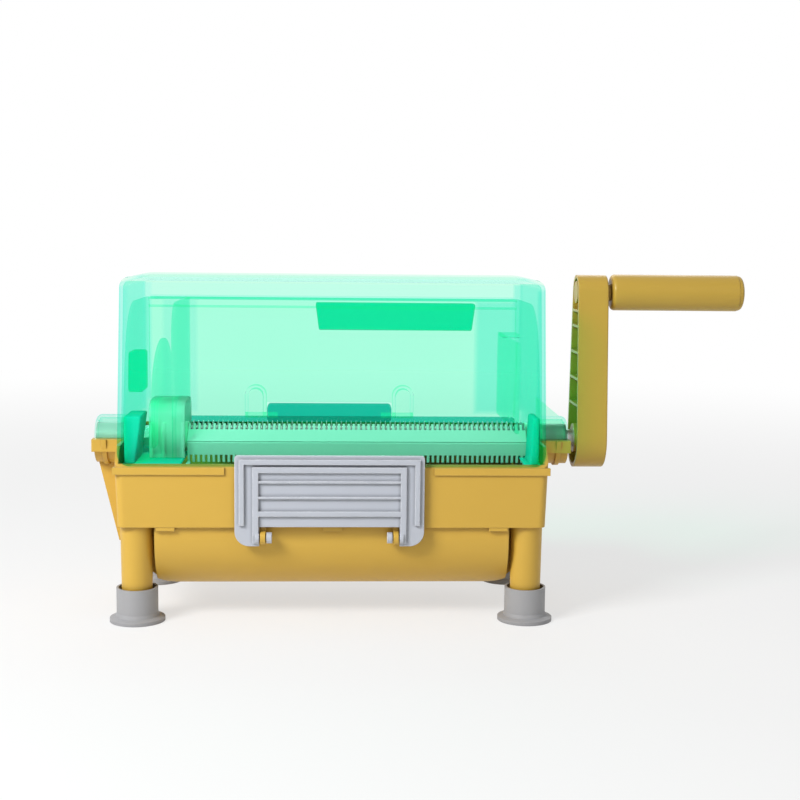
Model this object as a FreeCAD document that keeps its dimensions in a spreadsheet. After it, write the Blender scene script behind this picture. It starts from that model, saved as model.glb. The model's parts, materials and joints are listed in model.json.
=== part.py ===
import FreeCAD, Part
import math
import os
import re

import Sketcher
from FreeCAD import Vector

# Hand-cranked roller cutter for spring onions and garlic.
# Frame: X runs along the shaft with the crank on +X, -Y is the front, Z is up.
# The origin lies on the table, under the middle of the shaft. Lengths are millimetres.

SIZES = {
    # case and its parting plane
    "wall": 2.4,
    "cut_over": 1.0,
    "shaft_z": 110.3,
    "case_half_top": 134.2,
    "case_half_bottom": 132.6,
    "case_front": 57.0,
    "case_back": 73.0,
    "case_corner": 5.0,
    "seam_z": 61.5,
    "lip_low_z": 94.5,
    "lip_top_z": 99.0,
    "lip_out": 1.2,
    "lip_end_half": 134.6,
    "lip_gap_half": 64.6,
    "slope_run": 14.0,
    "floor_thick": 3.0,
    "floor_inner": 108.5,
    # end cradles that hold the bearings
    "cradle_half": 152.5,
    "cradle_flange_half": 154.0,
    "cradle_flange_drop": 8.0,
    "cradle_body": 17.0,
    "cradle_rib": 18.2,
    "cradle_rib_start": 144.5,
    "cradle_rib_thick": 3.0,
    "gusset_foot_z": 41.5,
    "gusset_top_x": 153.8,
    "gusset_foot_x": 139.3,
    "gusset_thick": 3.0,
    "apron_half": 31.0,
    # ledges inside the case
    "shelf_inner": 125.5,
    "shelf_z": 98.0,
    "shelf_thick": 3.0,
    "rail_front_z": 94.8,
    "rail_front_deep": 9.0,
    "rail_rear_z": 105.0,
    "rail_rear_deep": 18.6,
    "rail_thick": 4.0,
    # lid hinge at the rear
    "hinge_x": -2.7,
    "hinge_y": 79.0,
    "hinge_z": 114.3,
    "hinge_pin": 2.0,
    "hinge_bore_gap": 0.08,
    "hinge_block_half": 43.6,
    "hinge_block_low_z": 110.8,
    "hinge_block_top_z": 122.5,
    "hinge_block_back": 83.5,
    "hinge_block_round": 3.0,
    "hinge_pin_grip": 7.0,
    "lug_inner": 44.5,
    "lug_outer": 59.5,
    "lug_top_z": 135.7,
    "lug_low_gap": 0.9,
    "lug_wall": 2.2,
    "lug_back": 84.0,
    "lid_notch_z": 124.6,
    # latch pivot
    "latch_y": 60.5,
    "latch_z": 56.0,
    "latch_pin": 1.6,
    "latch_pin_gap": 0.08,
    "latch_pin_head_r": 3.4,
    "latch_pin_head_long": 3.2,
    "latch_pin_inner": 35.5,
    "ear_inner": 39.3,
    "ear_outer": 42.5,
    "ear_round": 4.0,
    "ear_top_z": 66.0,
    "ear_front": 58.6,
    # trough under the case
    "trough_half": 119.0,
    "trough_front": 54.0,
    "trough_back": 66.0,
    "trough_low_z": 19.4,
    "trough_wall": 2.2,
    "trough_end_run": 29.5,
    "trough_end_r": 38.0,
    "trough_notch_wide": 9.0,
    "trough_notch_front": 33.0,
    "trough_notch_rear": 48.0,
    "trough_round": 34.0,
    "tab_half": 5.8,
    "tab_out": 2.8,
    "tab_thick": 2.2,
    "tab_spread": 103.0,
    "tab_count": 3,
    # legs and suction feet
    "leg_x": 122.0,
    "leg_front_y": 44.5,
    "leg_rear_y": 60.0,
    "leg_top_r": 10.1,
    "leg_low_r": 9.4,
    "spigot_r": 6.0,
    "spigot_gap": 0.1,
    "cup_floor_z": 9.0,
    "cup_r": 12.9,
    "cup_wall": 1.4,
    "cup_top_z": 21.5,
    "cup_low_z": 5.6,
    "flange_r": 17.2,
    "flange_edge": 2.2,
    "flange_neck_z": 3.4,
    "flange_neck_out": 0.8,
    "suction_rim": 1.8,
    "suction_shoulder": 2.7,
    "suction_high": 3.6,
    "stud_r": 4.0,
    "stud_high": 7.0,
    "stud_gap": 0.1,
    "stud_end_gap": 1.0,
    # lid
    "lid_gap": 0.5,
    "lid_half_low": 133.2,
    "lid_half_top": 131.8,
    "lid_low_z": 99.8,
    "lid_top_z": 214.6,
    "lid_lean": 10.6,
    "lid_edge_round": 9.0,
    "lid_top_round": 6.5,
    "dome_r": 13.6,
    "dome_wall": 2.0,
    "dome_edge_round": 3.5,
    "dome_half": 153.0,
    "dome_end_hole": 9.8,
    "web_thick": 2.0,
    "web_high": 14.0,
    # inner hopper guard
    "guard_gap": 1.2,
    "guard_wall": 2.2,
    "guard_low_y": 36.0,
    "guard_knee_y": 8.9,
    "guard_knee_z": 190.1,
    "guard_top_z": 198.0,
    "guard_rim_high": 3.0,
    "guard_rim_deep": 5.0,
    "guard_foot_deep": 8.0,
    "guard_foot_top_z": 115.0,
    "guard_foot_right": 119.0,
    "guard_round": 88.0,
    "guard_corner": 4.5,
    "guard_rear_gap": 1.7,
    "guard_shaft_slot": 12.5,
    "partition_x": 98.0,
    "partition_front_y": 30.0,
    "partition_low_z": 98.0,
    "partition_round": 20.0,
    "plate_left_x": 110.0,
    "plate_left_front_y": 42.0,
    "plate_left_z": 173.0,
    "plate_right_x": 118.0,
    "plate_right_front_y": 36.0,
    "plate_right_low_z": 118.0,
    "plate_shelf_thick": 2.0,
    "plate_right_z": 175.0,
    "plate_low_z": 105.0,
    "plate_round": 45.0,
    "plate_right_round": 3.0,
    "ledge_left": 12.5,
    "ledge_right": 97.6,
    "ledge_low_z": 176.5,
    "ledge_high_z": 195.0,
    "ledge_slant": 4.0,
    "ledge_deep": 14.0,
    "side_box_x": 118.0,
    "side_box_front_y": 30.0,
    "side_box_back_y": 6.0,
    "side_box_low_z": 145.0,
    "side_box_top_z": 168.0,
    "side_pad_front_y": 40.0,
    "side_pad_back_y": 14.0,
    "side_pad_low_z": 103.0,
    "side_pad_top_z": 127.0,
    # blade roller
    "bar_corner_r": 7.6,
    "bar_left": 122.0,
    "bar_right": 128.0,
    "journal_r": 5.5,
    "journal_gap": 0.06,
    "drive_r": 5.2,
    "drive_depth": 12.0,
    "disc_r": 10.5,
    "disc_sides": 20,
    "disc_thick": 0.6,
    "disc_pitch": 3.2,
    "disc_count": 68,
    "disc_first": 91.0,
    "disc_fit": 0.02,
    "collar_r": 9.8,
    "collar_thick": 3.0,
    "spool_r": 12.0,
    "spool_outer_x": 117.0,
    "spool_inner_x": 103.0,
    "spool_flange_thick": 4.7,
    # bearing bushes
    "bush_r": 9.0,
    "bush_flange_r": 11.0,
    "bush_flange_thick": 1.6,
    "bush_fit": 0.03,
    # combs
    "comb_thick": 2.0,
    "comb_slot": 1.6,
    "vee_tip_y": -8.0,
    "vee_tip_up": 9.5,
    "vee_nose_y": -18.5,
    "vee_nose_up": -1.1,
    "vee_low_y": -17.0,
    "vee_low_up": -14.3,
    "vee_inner_low_y": -15.0,
    "vee_inner_low_up": -14.3,
    "vee_inner_nose_y": -15.9,
    "vee_inner_nose_up": -1.3,
    "vee_heel_y": -9.85,
    "vee_heel_up": 4.8,
    "vee_finger_y": -5.0,
    "vee_finger_up": 7.3,
    "vee_root_up": 6.1,
    "vee_root_y": -11.4,
    "vee_low_root_up": -9.6,
    "vee_groove": 0.5,
    "comb_foot_back": 40.0,
    "comb_rib_thick": 2.4,
    "comb_rear_tip": 8.6,
    "comb_rear_root": 12.4,
    "comb_left": 93.0,
    "comb_right": 125.0,
    "comb_wall_gap": 0.6,
    "comb_screw_inset": 4.5,
    "comb_screw_left": 80.0,
    "comb_screw_step": 96.0,
    "comb_screw_count": 3,
    "screw_r": 1.3,
    "screw_head_r": 2.9,
    "screw_head_high": 1.5,
    "screw_deep": 3.4,
    "screw_hole_gap": 0.25,
    "screw_fit": 0.02,
    # crank arm
    "crank_throw": 95.7,
    "arm_inner_x": 157.6,
    "arm_thick": 19.6,
    "arm_hub_r": 19.2,
    "arm_top_r": 11.2,
    "arm_wall": 2.3,
    "arm_face": 3.0,
    "arm_socket_r": 9.4,
    "arm_boss_r": 7.2,
    "arm_edge": 1.0,
    "rung_thick": 1.6,
    "rung_first_z": 73.7,
    "rung_step": 17.0,
    "rung_count": 4,
    "rung_upper_z": 83.7,
    "crank_screw_r": 2.5,
    "crank_screw_head_r": 4.6,
    "crank_screw_head_high": 2.6,
    "crank_screw_deep": 10.0,
    "crank_screw_reach": 8.0,
    # grip
    "grip_r": 11.7,
    "grip_start_x": 180.2,
    "grip_end_x": 266.4,
    "grip_round": 2.5,
    "grip_cap_thick": 3.4,
    "grip_cap_r": 11.3,
    "grip_plug_r": 6.5,
    "grip_plug_long": 6.0,
    "pin_r": 4.0,
    "pin_gap": 0.08,
    "pin_collar_r": 5.4,
    "pin_seat_gap": 0.3,
    # latch panel
    "latch_face": 59.1,
    "latch_thick": 2.4,
    "latch_x": -1.9,
    "latch_half": 58.2,
    "latch_top_z": 107.2,
    "latch_panel_z": 62.9,
    "latch_tip_z": 50.9,
    "latch_arm_inner": 43.2,
    "latch_corner": 2.0,
    "latch_tip_round": 9.0,
    "bead_high": 1.8,
    "bead_wide": 3.1,
    "bead_x": 52.4,
    "bead_low_z": 64.0,
    "bead_top_z": 101.8,
    "frame_wide": 3.6,
    "frame_x": 43.6,
    "frame_low_z": 53.0,
    "frame_top_z": 96.7,
    "slat_wide": 1.4,
    "slat_low_z": 80.6,
    "slat_step": 9.7,
    "slat_thick_wide": 3.1,
    "slat_thick_z": 69.7,
    "arm_pad_thick": 2.4,
}

PARTS_DIR = "parts"
TOOL_PREFIX = "tool_"
SIDES = {"left": -1, "right": 1}
HEXAGON_SIDES = 6
NEAR_SLACK = 0.6
EXACT_SLACK = 0.01
STRAIGHT_SHARE = 0.97
ALIASES = re.compile(r"\b(" + "|".join(SIZES) + r")\b")

doc = FreeCAD.newDocument("roller_cutter")
sheet = doc.addObject("Spreadsheet::Sheet", "Sizes")
for row, (alias, number) in enumerate(SIZES.items(), start=1):
    sheet.set(f"A{row}", str(number))
    sheet.setAlias(f"A{row}", alias)
doc.recompute()


def bound(text):
    """Turn a formula in size names into one that other objects can read."""
    return ALIASES.sub(r"Sizes.\1", text)


def value(text):
    """Work out a formula in size names."""
    return float(sheet.evalExpression(text))


def signed(side, text):
    """Mirror a formula to the left side."""
    return text if side > 0 else f"-({text})"


def new_body(name, x="0", y="0", z="0"):
    """Start a sub-part whose local origin stands at the given place."""
    body = doc.addObject("PartDesign::Body", name)
    body.Label = name
    for axis, text in zip("xyz", (x, y, z)):
        body.setExpression(f"Placement.Base.{axis}", bound(text))
    return body


def origin_item(body, role):
    """Find an origin plane or axis of the body."""
    return next(item for item in body.Origin.OriginFeatures if item.Role == role)


def new_sketch(body, name, plane, offset="0"):
    """Attach a sketch to an origin plane, moved along that plane's normal."""
    sketch = body.newObject("Sketcher::SketchObject", name)
    sketch.AttachmentSupport = [(origin_item(body, plane), "")]
    sketch.MapMode = "FlatFace"
    sketch.setExpression("AttachmentOffset.Base.z", bound(offset))
    return sketch


def hold(sketch, kind, geometry, point, text):
    """Bind one coordinate of a point to a formula."""
    index = sketch.addConstraint(Sketcher.Constraint(kind, geometry, point, value(text)))
    sketch.setExpression(f"Constraints[{index}]", bound(text))


def hold_radius(sketch, geometry, text):
    """Bind the radius of a circle or arc to a formula."""
    index = sketch.addConstraint(Sketcher.Constraint("Radius", geometry, value(text)))
    sketch.setExpression(f"Constraints[{index}]", bound(text))


def draw_polygon(sketch, points):
    """Draw a closed outline whose corners are bound to formulas."""
    corners = [Vector(value(a), value(b), 0) for a, b in points]
    lines = []
    for index, corner in enumerate(corners):
        following = corners[(index + 1) % len(corners)]
        lines.append(sketch.addGeometry(Part.LineSegment(corner, following), False))
    for index, line in enumerate(lines):
        following = lines[(index + 1) % len(lines)]
        sketch.addConstraint(Sketcher.Constraint("Coincident", line, 2, following, 1))
    for line, (a, b) in zip(lines, points):
        hold(sketch, "DistanceX", line, 1, a)
        hold(sketch, "DistanceY", line, 1, b)


def rectangle(low, high):
    """List the corners of an upright rectangle."""
    return [(low[0], low[1]), (high[0], low[1]), (high[0], high[1]), (low[0], high[1])]


def draw_circle(sketch, centre, radius):
    """Draw a circle bound to formulas."""
    spot = Vector(value(centre[0]), value(centre[1]), 0)
    circle = sketch.addGeometry(Part.Circle(spot, Vector(0, 0, 1), value(radius)), False)
    hold(sketch, "DistanceX", circle, 3, centre[0])
    hold(sketch, "DistanceY", circle, 3, centre[1])
    hold_radius(sketch, circle, radius)


def draw_half_disc(sketch, centre, radius, upper):
    """Draw a half disc with its flat side level through the centre."""
    a, b = value(centre[0]), value(centre[1])
    r = value(radius)
    start = 0 if upper else math.pi
    circle = Part.Circle(Vector(a, b, 0), Vector(0, 0, 1), r)
    arc = sketch.addGeometry(Part.ArcOfCircle(circle, start, start + math.pi), False)
    turn = 1 if upper else -1
    flat = Part.LineSegment(Vector(a + turn * r, b, 0), Vector(a - turn * r, b, 0))
    line = sketch.addGeometry(flat, False)
    sketch.addConstraint(Sketcher.Constraint("Coincident", arc, 1, line, 1))
    sketch.addConstraint(Sketcher.Constraint("Coincident", arc, 2, line, 2))
    sketch.addConstraint(Sketcher.Constraint("Horizontal", line))
    sketch.addConstraint(Sketcher.Constraint("PointOnObject", arc, 3, line))
    hold(sketch, "DistanceX", arc, 3, centre[0])
    hold(sketch, "DistanceY", arc, 3, centre[1])
    hold_radius(sketch, arc, radius)


def draw_arm_outline(sketch, low_radius, high_centre, high_radius):
    """Draw two arcs joined by tangent lines, the lower arc about the sketch origin."""
    low_r, high_r, rise = value(low_radius), value(high_radius), value(high_centre)
    tilt = math.asin((low_r - high_r) / rise)
    flat_x, flat_z = math.cos(tilt), math.sin(tilt)
    low = Part.Circle(Vector(0, 0, 0), Vector(0, 0, 1), low_r)
    high = Part.Circle(Vector(0, rise, 0), Vector(0, 0, 1), high_r)
    low_right = Vector(low_r * flat_x, low_r * flat_z, 0)
    high_right = Vector(high_r * flat_x, rise + high_r * flat_z, 0)
    high_left = Vector(-high_right.x, high_right.y, 0)
    low_left = Vector(-low_right.x, low_right.y, 0)
    ring = [
        sketch.addGeometry(Part.ArcOfCircle(low, math.pi - tilt, 2 * math.pi + tilt), False),
        sketch.addGeometry(Part.LineSegment(low_right, high_right), False),
        sketch.addGeometry(Part.ArcOfCircle(high, tilt, math.pi - tilt), False),
        sketch.addGeometry(Part.LineSegment(high_left, low_left), False),
    ]
    for index, item in enumerate(ring):
        following = ring[(index + 1) % len(ring)]
        sketch.addConstraint(Sketcher.Constraint("Tangent", item, 2, following, 1))
    for arc, rise_text, radius in ((ring[0], "0", low_radius), (ring[2], high_centre, high_radius)):
        hold(sketch, "DistanceX", arc, 3, "0")
        hold(sketch, "DistanceY", arc, 3, rise_text)
        hold_radius(sketch, arc, radius)


def pad(body, sketch, length, reverse=False, both=False):
    """Raise a sketch into the body."""
    feature = body.newObject("PartDesign::Pad", sketch.Name + "_pad")
    feature.Profile = sketch
    feature.setExpression("Length", bound(length))
    feature.Reversed = reverse
    feature.Midplane = both
    sketch.Visibility = False
    return feature


def cut(body, sketch, length, reverse=False, both=False):
    """Sink a sketch into the body and make sure that it removes material."""
    doc.recompute()
    before = body.Shape.Volume
    feature = body.newObject("PartDesign::Pocket", sketch.Name + "_cut")
    feature.Profile = sketch
    feature.setExpression("Length", bound(length))
    feature.Reversed = reverse
    feature.Midplane = both
    doc.recompute()
    if body.Shape.Volume >= before:
        raise ValueError(f"{feature.Label} removes nothing")
    return feature


def turned(name, profile, plane="XZ_Plane", axis="H_Axis", x="0", y="0", z="0"):
    """Make a turned sub-part from its half section."""
    body = new_body(name, x, y, z)
    sketch = new_sketch(body, name + "_section", plane)
    draw_polygon(sketch, profile)
    feature = body.newObject("PartDesign::Revolution", name + "_turned")
    feature.Profile = sketch
    feature.ReferenceAxis = (sketch, [axis])
    feature.Angle = 360.0
    return body


def round_edges(body, name, radius, wanted):
    """Round every edge of the body's present shape that the test accepts."""
    doc.recompute()
    base = body.Tip
    edges = [f"Edge{i}" for i, edge in enumerate(base.Shape.Edges, start=1) if wanted(edge)]
    if not edges:
        raise ValueError(f"{name} finds no edge")
    feature = body.newObject("PartDesign::Fillet", name)
    feature.Base = (base, edges)
    feature.setExpression("Radius", bound(radius))
    doc.recompute()
    return feature


def along(edge, axis):
    """Tell whether a straight edge runs along an axis, within a small draft."""
    if not isinstance(edge.Curve, Part.Line):
        return False
    direction = edge.Curve.Direction
    return abs(getattr(direction, axis)) > STRAIGHT_SHARE


def near(number, text, slack=NEAR_SLACK):
    """Tell whether a coordinate lies at a formula's value."""
    return abs(number - value(text)) < slack


def repeat_along_x(body, name, feature, span, count):
    """Repeat a feature along X."""
    pattern = body.newObject("PartDesign::LinearPattern", name)
    pattern.Originals = [feature]
    pattern.Direction = (origin_item(body, "X_Axis"), [""])
    pattern.setExpression("Length", bound(span))
    pattern.setExpression("Occurrences", bound(count))
    body.Tip = pattern
    doc.recompute()
    return pattern


def make_case():
    """Hopper box with lip, end cradles, ledges and latch ears."""
    body = new_body("body_housing")
    outline = new_sketch(body, "case_outline", "XZ_Plane", "case_front")
    draw_polygon(outline, [
        ("-case_half_bottom", "seam_z"),
        ("case_half_bottom", "seam_z"),
        ("case_half_top", "shaft_z"),
        ("-case_half_top", "shaft_z"),
    ])
    pad(body, outline, "case_front + case_back", reverse=True)
    round_edges(body, "case_corners", "case_corner", lambda edge: along(edge, "z"))
    hollow = new_sketch(body, "case_hollow", "XZ_Plane", "case_front - wall")
    draw_polygon(hollow, [
        ("-(case_half_bottom - wall)", "seam_z + floor_thick"),
        ("case_half_bottom - wall", "seam_z + floor_thick"),
        ("case_half_top - wall", "shaft_z"),
        ("-(case_half_top - wall)", "shaft_z"),
    ])
    cut(body, hollow, "case_front + case_back - 2 * wall")
    outlet = new_sketch(body, "case_outlet", "XY_Plane", "seam_z")
    draw_polygon(outlet, rectangle(
        ("-floor_inner", "-(case_front - wall)"),
        ("floor_inner", "case_back - wall"),
    ))
    cut(body, outlet, "floor_thick", reverse=True)
    slope = new_sketch(body, "case_slope", "YZ_Plane")
    draw_polygon(slope, [
        ("-case_front", "lip_top_z"),
        ("slope_run - case_front", "shaft_z"),
        ("-case_front", "shaft_z"),
    ])
    cut(body, slope, "2 * case_half_top", both=True)
    for side_name, side in SIDES.items():
        add_case_end(body, side_name, side)
    add_gusset(body)
    seat = new_sketch(body, "bush_seat", "YZ_Plane")
    draw_circle(seat, ("0", "shaft_z"), "bush_r + bush_fit")
    cut(body, seat, "2 * cradle_flange_half", both=True)
    spot_face = new_sketch(body, "bush_spot_face", "YZ_Plane")
    draw_circle(spot_face, ("0", "shaft_z"), "bush_flange_r + bush_fit")
    cut(body, spot_face, "2 * (case_half_top - wall)", both=True)
    add_rails(body)
    spigots = new_sketch(body, "spigot_holes", "XY_Plane", "seam_z")
    for side in SIDES.values():
        for leg_y in ("-leg_front_y", "leg_rear_y"):
            draw_circle(spigots, (signed(side, "leg_x"), leg_y), "spigot_r + spigot_gap")
    cut(body, spigots, "floor_thick", reverse=True)
    return body


def add_case_end(body, side_name, side):
    """Lip band, cradle, cradle rib, shelf and latch ear of one side."""
    outward = side < 0
    lip = new_sketch(body, f"lip_{side_name}", "XZ_Plane", "case_front - wall")
    draw_polygon(lip, rectangle(
        (signed(side, "lip_gap_half") + " + latch_x", "lip_low_z"),
        (signed(side, "lip_end_half"), "lip_top_z"),
    ))
    pad(body, lip, "lip_out + wall")
    cradle = new_sketch(body, f"cradle_{side_name}", "YZ_Plane", signed(side, "case_half_top - wall"))
    draw_half_disc(cradle, ("0", "shaft_z"), "cradle_body", upper=False)
    pad(body, cradle, "cradle_half - case_half_top + wall", reverse=outward)
    flange = new_sketch(body, f"cradle_flange_{side_name}", "YZ_Plane",
                        signed(side, "case_half_top - wall"))
    draw_polygon(flange, rectangle(
        ("-cradle_body", "shaft_z - cradle_flange_drop"),
        ("cradle_body", "shaft_z"),
    ))
    pad(body, flange, "cradle_flange_half - case_half_top + wall", reverse=outward)
    rib = new_sketch(body, f"cradle_rib_{side_name}", "YZ_Plane", signed(side, "cradle_rib_start"))
    draw_half_disc(rib, ("0", "shaft_z"), "cradle_rib", upper=False)
    pad(body, rib, "cradle_rib_thick", reverse=outward)
    shelf = new_sketch(body, f"shelf_{side_name}", "YZ_Plane", signed(side, "shelf_inner"))
    draw_polygon(shelf, rectangle(
        ("-case_front + wall / 2", "shelf_z - shelf_thick"),
        ("case_back - wall / 2", "shelf_z"),
    ))
    pad(body, shelf, "case_half_top - wall / 2 - shelf_inner", reverse=outward)
    inner = signed(side, "ear_inner") + " + latch_x"
    ear = new_sketch(body, f"ear_{side_name}", "YZ_Plane", inner)
    draw_polygon(ear, [
        ("-latch_y", "latch_z - ear_round"),
        ("-(case_front - wall)", "latch_z - ear_round"),
        ("-(case_front - wall)", "ear_top_z"),
        ("-ear_front", "ear_top_z"),
        ("-ear_front", "latch_z + ear_round"),
        ("-latch_y", "latch_z + ear_round"),
    ])
    pad(body, ear, "ear_outer - ear_inner", reverse=outward)
    eye = new_sketch(body, f"ear_eye_{side_name}", "YZ_Plane", inner)
    draw_circle(eye, ("-latch_y", "latch_z"), "ear_round")
    pad(body, eye, "ear_outer - ear_inner", reverse=outward)
    hole = new_sketch(body, f"ear_hole_{side_name}", "YZ_Plane", inner)
    draw_circle(hole, ("-latch_y", "latch_z"), "latch_pin + latch_pin_gap")
    cut(body, hole, "ear_outer - ear_inner", reverse=side > 0)


def add_gusset(body):
    """Apron between the left legs and the web that braces the left cradle on it."""
    apron = new_sketch(body, "apron", "YZ_Plane", "-case_half_bottom")
    draw_polygon(apron, rectangle(
        ("-apron_half", "gusset_foot_z"),
        ("apron_half", "seam_z + floor_thick / 2"),
    ))
    pad(body, apron, "wall")
    web = new_sketch(body, "gusset", "XZ_Plane")
    draw_polygon(web, [
        ("-gusset_top_x", "shaft_z - cradle_flange_drop"),
        ("-gusset_foot_x", "gusset_foot_z"),
        ("-case_half_bottom + wall / 2", "gusset_foot_z"),
        ("-case_half_bottom + wall / 2", "shaft_z - cradle_flange_drop"),
    ])
    pad(body, web, "gusset_thick", both=True)


def add_rails(body):
    """Ledges that carry the two combs, with their screw holes."""
    places = {
        "front": ("-(case_front - wall / 2)", "-(case_front - wall - rail_front_deep)", "rail_front_z"),
        "rear": ("case_back - wall - rail_rear_deep", "case_back - wall / 2", "rail_rear_z"),
    }
    for name, (low_y, high_y, top_z) in places.items():
        rail = new_sketch(body, f"rail_{name}", "XY_Plane", f"{top_z} - rail_thick")
        draw_polygon(rail, rectangle(("-comb_left", low_y), ("comb_right", high_y)))
        pad(body, rail, "rail_thick")
        hole = new_sketch(body, f"rail_hole_{name}", "XY_Plane", top_z)
        draw_circle(hole, ("-comb_screw_left", comb_screw_y(name)), "screw_r + screw_fit")
        holes = cut(body, hole, "rail_thick")
        repeat_along_x(body, f"rail_holes_{name}", holes,
                       "comb_screw_step * (comb_screw_count - 1)", "comb_screw_count")


def comb_screw_y(name):
    """Give the depth at which a comb's screws stand."""
    if name == "front":
        return "-(case_front - wall - comb_wall_gap - comb_screw_inset)"
    return "case_back - wall - guard_rear_gap - guard_foot_deep - comb_screw_inset"


def draw_corner_sweep(sketch, side, inset):
    """Draw the region under the rounded lower corner of the trough's end."""
    centre_x = signed(side, "trough_half - trough_end_run")
    centre_z = "trough_low_z + trough_end_r"
    radius = f"trough_end_r - {inset}"
    out_x = signed(side, f"trough_half - {inset} + cut_over")
    low_z = "trough_low_z - cut_over"
    centre = Vector(value(centre_x), value(centre_z), 0)
    turn = math.asin(value(f"trough_end_run - {inset} + cut_over") / value(radius))
    bottom = 3 * math.pi / 2
    ends = (bottom, bottom + turn) if side > 0 else (bottom - turn, bottom)
    circle = Part.Circle(centre, Vector(0, 0, 1), value(radius))
    arc = sketch.addGeometry(Part.ArcOfCircle(circle, *ends), False)
    inner, outer = (1, 2) if side > 0 else (2, 1)
    low = Vector(value(centre_x), value(centre_z) - value(radius), 0)
    high = Vector(value(out_x), value(centre_z) - value(radius) * math.cos(turn), 0)
    corners = [high, Vector(high.x, value(low_z), 0), Vector(low.x, value(low_z), 0), low]
    lines = [sketch.addGeometry(Part.LineSegment(a, b), False) for a, b in zip(corners, corners[1:])]
    sketch.addConstraint(Sketcher.Constraint("Coincident", arc, outer, lines[0], 1))
    sketch.addConstraint(Sketcher.Constraint("Coincident", lines[0], 2, lines[1], 1))
    sketch.addConstraint(Sketcher.Constraint("Coincident", lines[1], 2, lines[2], 1))
    sketch.addConstraint(Sketcher.Constraint("Coincident", lines[2], 2, arc, inner))
    hold(sketch, "DistanceX", arc, 3, centre_x)
    hold(sketch, "DistanceY", arc, 3, centre_z)
    hold_radius(sketch, arc, radius)
    hold(sketch, "DistanceX", lines[0], 1, out_x)
    hold(sketch, "DistanceX", lines[1], 1, out_x)
    hold(sketch, "DistanceY", lines[1], 1, low_z)
    hold(sketch, "DistanceX", lines[2], 1, centre_x)
    hold(sketch, "DistanceY", lines[2], 1, low_z)
    hold(sketch, "DistanceX", lines[2], 2, centre_x)


def make_tub(name, inset, above):
    """Round-bottomed tub with swept end corners and notches for the legs, moved in by the inset."""
    body = new_body(name)
    outline = new_sketch(body, name + "_outline", "YZ_Plane")
    draw_polygon(outline, rectangle(
        (f"-(trough_front - {inset})", f"trough_low_z + {inset}"),
        (f"trough_back - {inset}", f"seam_z + {above}"),
    ))
    pad(body, outline, f"2 * (trough_half - {inset})", both=True)
    round_edges(body, name + "_belly", f"trough_round - {inset}",
                lambda edge: along(edge, "x")
                and near(edge.CenterOfMass.z, f"trough_low_z + {inset}", EXACT_SLACK))
    notch = new_sketch(body, name + "_leg_room", "XY_Plane", "trough_low_z - cut_over")
    for side in SIDES.values():
        for low_y, high_y in (
            ("-trough_front - cut_over", f"-trough_notch_front + {inset}"),
            (f"trough_notch_rear - {inset}", "trough_back + cut_over"),
        ):
            draw_polygon(notch, rectangle(
                (signed(side, f"trough_half - trough_notch_wide - {inset}"), low_y),
                (signed(side, "trough_half + cut_over"), high_y),
            ))
    cut(body, notch, "seam_z - trough_low_z + 3 * cut_over", reverse=True)
    corner = new_sketch(body, name + "_end_corner", "XZ_Plane", "trough_front + cut_over")
    for side in SIDES.values():
        draw_corner_sweep(corner, side, inset)
    cut(body, corner, "trough_front + trough_back + 2 * cut_over")
    return body


def make_trough():
    """Trough that hangs under the case by three snap tabs on each long side."""
    room = make_tub("tool_trough_room", "trough_wall", "cut_over")
    body = make_tub("lower_trough", "0", "0")
    doc.recompute()
    shell = body.newObject("PartDesign::Boolean", "trough_shell")
    shell.Type = "Cut"
    shell.Group = [room]
    doc.recompute()
    for name, low_y, high_y in (
        ("front", "-(trough_front + tab_out)", "-trough_front + trough_wall / 2"),
        ("rear", "trough_back - trough_wall / 2", "trough_back + tab_out"),
    ):
        tab = new_sketch(body, f"tab_{name}", "XY_Plane", "seam_z - tab_thick")
        draw_polygon(tab, rectangle(
            ("-tab_spread - tab_half", low_y),
            ("-tab_spread + tab_half", high_y),
        ))
        first = pad(body, tab, "tab_thick")
        repeat_along_x(body, f"tabs_{name}", first, "2 * tab_spread", "tab_count")
    return body


def make_legs_and_feet():
    """Four tapered legs, each plugged on the stud of its suction foot."""
    for side_name, side in SIDES.items():
        for row_name, leg_y in (("front", "-leg_front_y"), ("rear", "leg_rear_y")):
            turned(f"leg_{row_name}_{side_name}", [
                ("0", "cup_floor_z + stud_high + stud_end_gap"),
                ("stud_r + stud_gap", "cup_floor_z + stud_high + stud_end_gap"),
                ("stud_r + stud_gap", "cup_floor_z"),
                ("leg_low_r", "cup_floor_z"),
                ("leg_top_r", "seam_z"),
                ("spigot_r", "seam_z"),
                ("spigot_r", "seam_z + floor_thick"),
                ("0", "seam_z + floor_thick"),
            ], axis="V_Axis", x=signed(side, "leg_x"), y=leg_y)
            turned(f"suction_foot_{row_name}_{side_name}", [
                ("0", "suction_high"),
                ("flange_r / 4", "suction_high"),
                ("flange_r / 2", "suction_shoulder"),
                ("flange_r - suction_rim", "0"),
                ("flange_r", "0"),
                ("flange_r", "flange_edge"),
                ("cup_r + flange_neck_out", "flange_neck_z"),
                ("cup_r", "cup_low_z"),
                ("cup_r", "cup_top_z"),
                ("cup_r - cup_wall", "cup_top_z"),
                ("cup_r - cup_wall", "cup_floor_z"),
                ("stud_r", "cup_floor_z"),
                ("stud_r", "cup_floor_z + stud_high"),
                ("0", "cup_floor_z + stud_high"),
            ], axis="V_Axis", x=signed(side, "leg_x"), y=leg_y)


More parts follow.
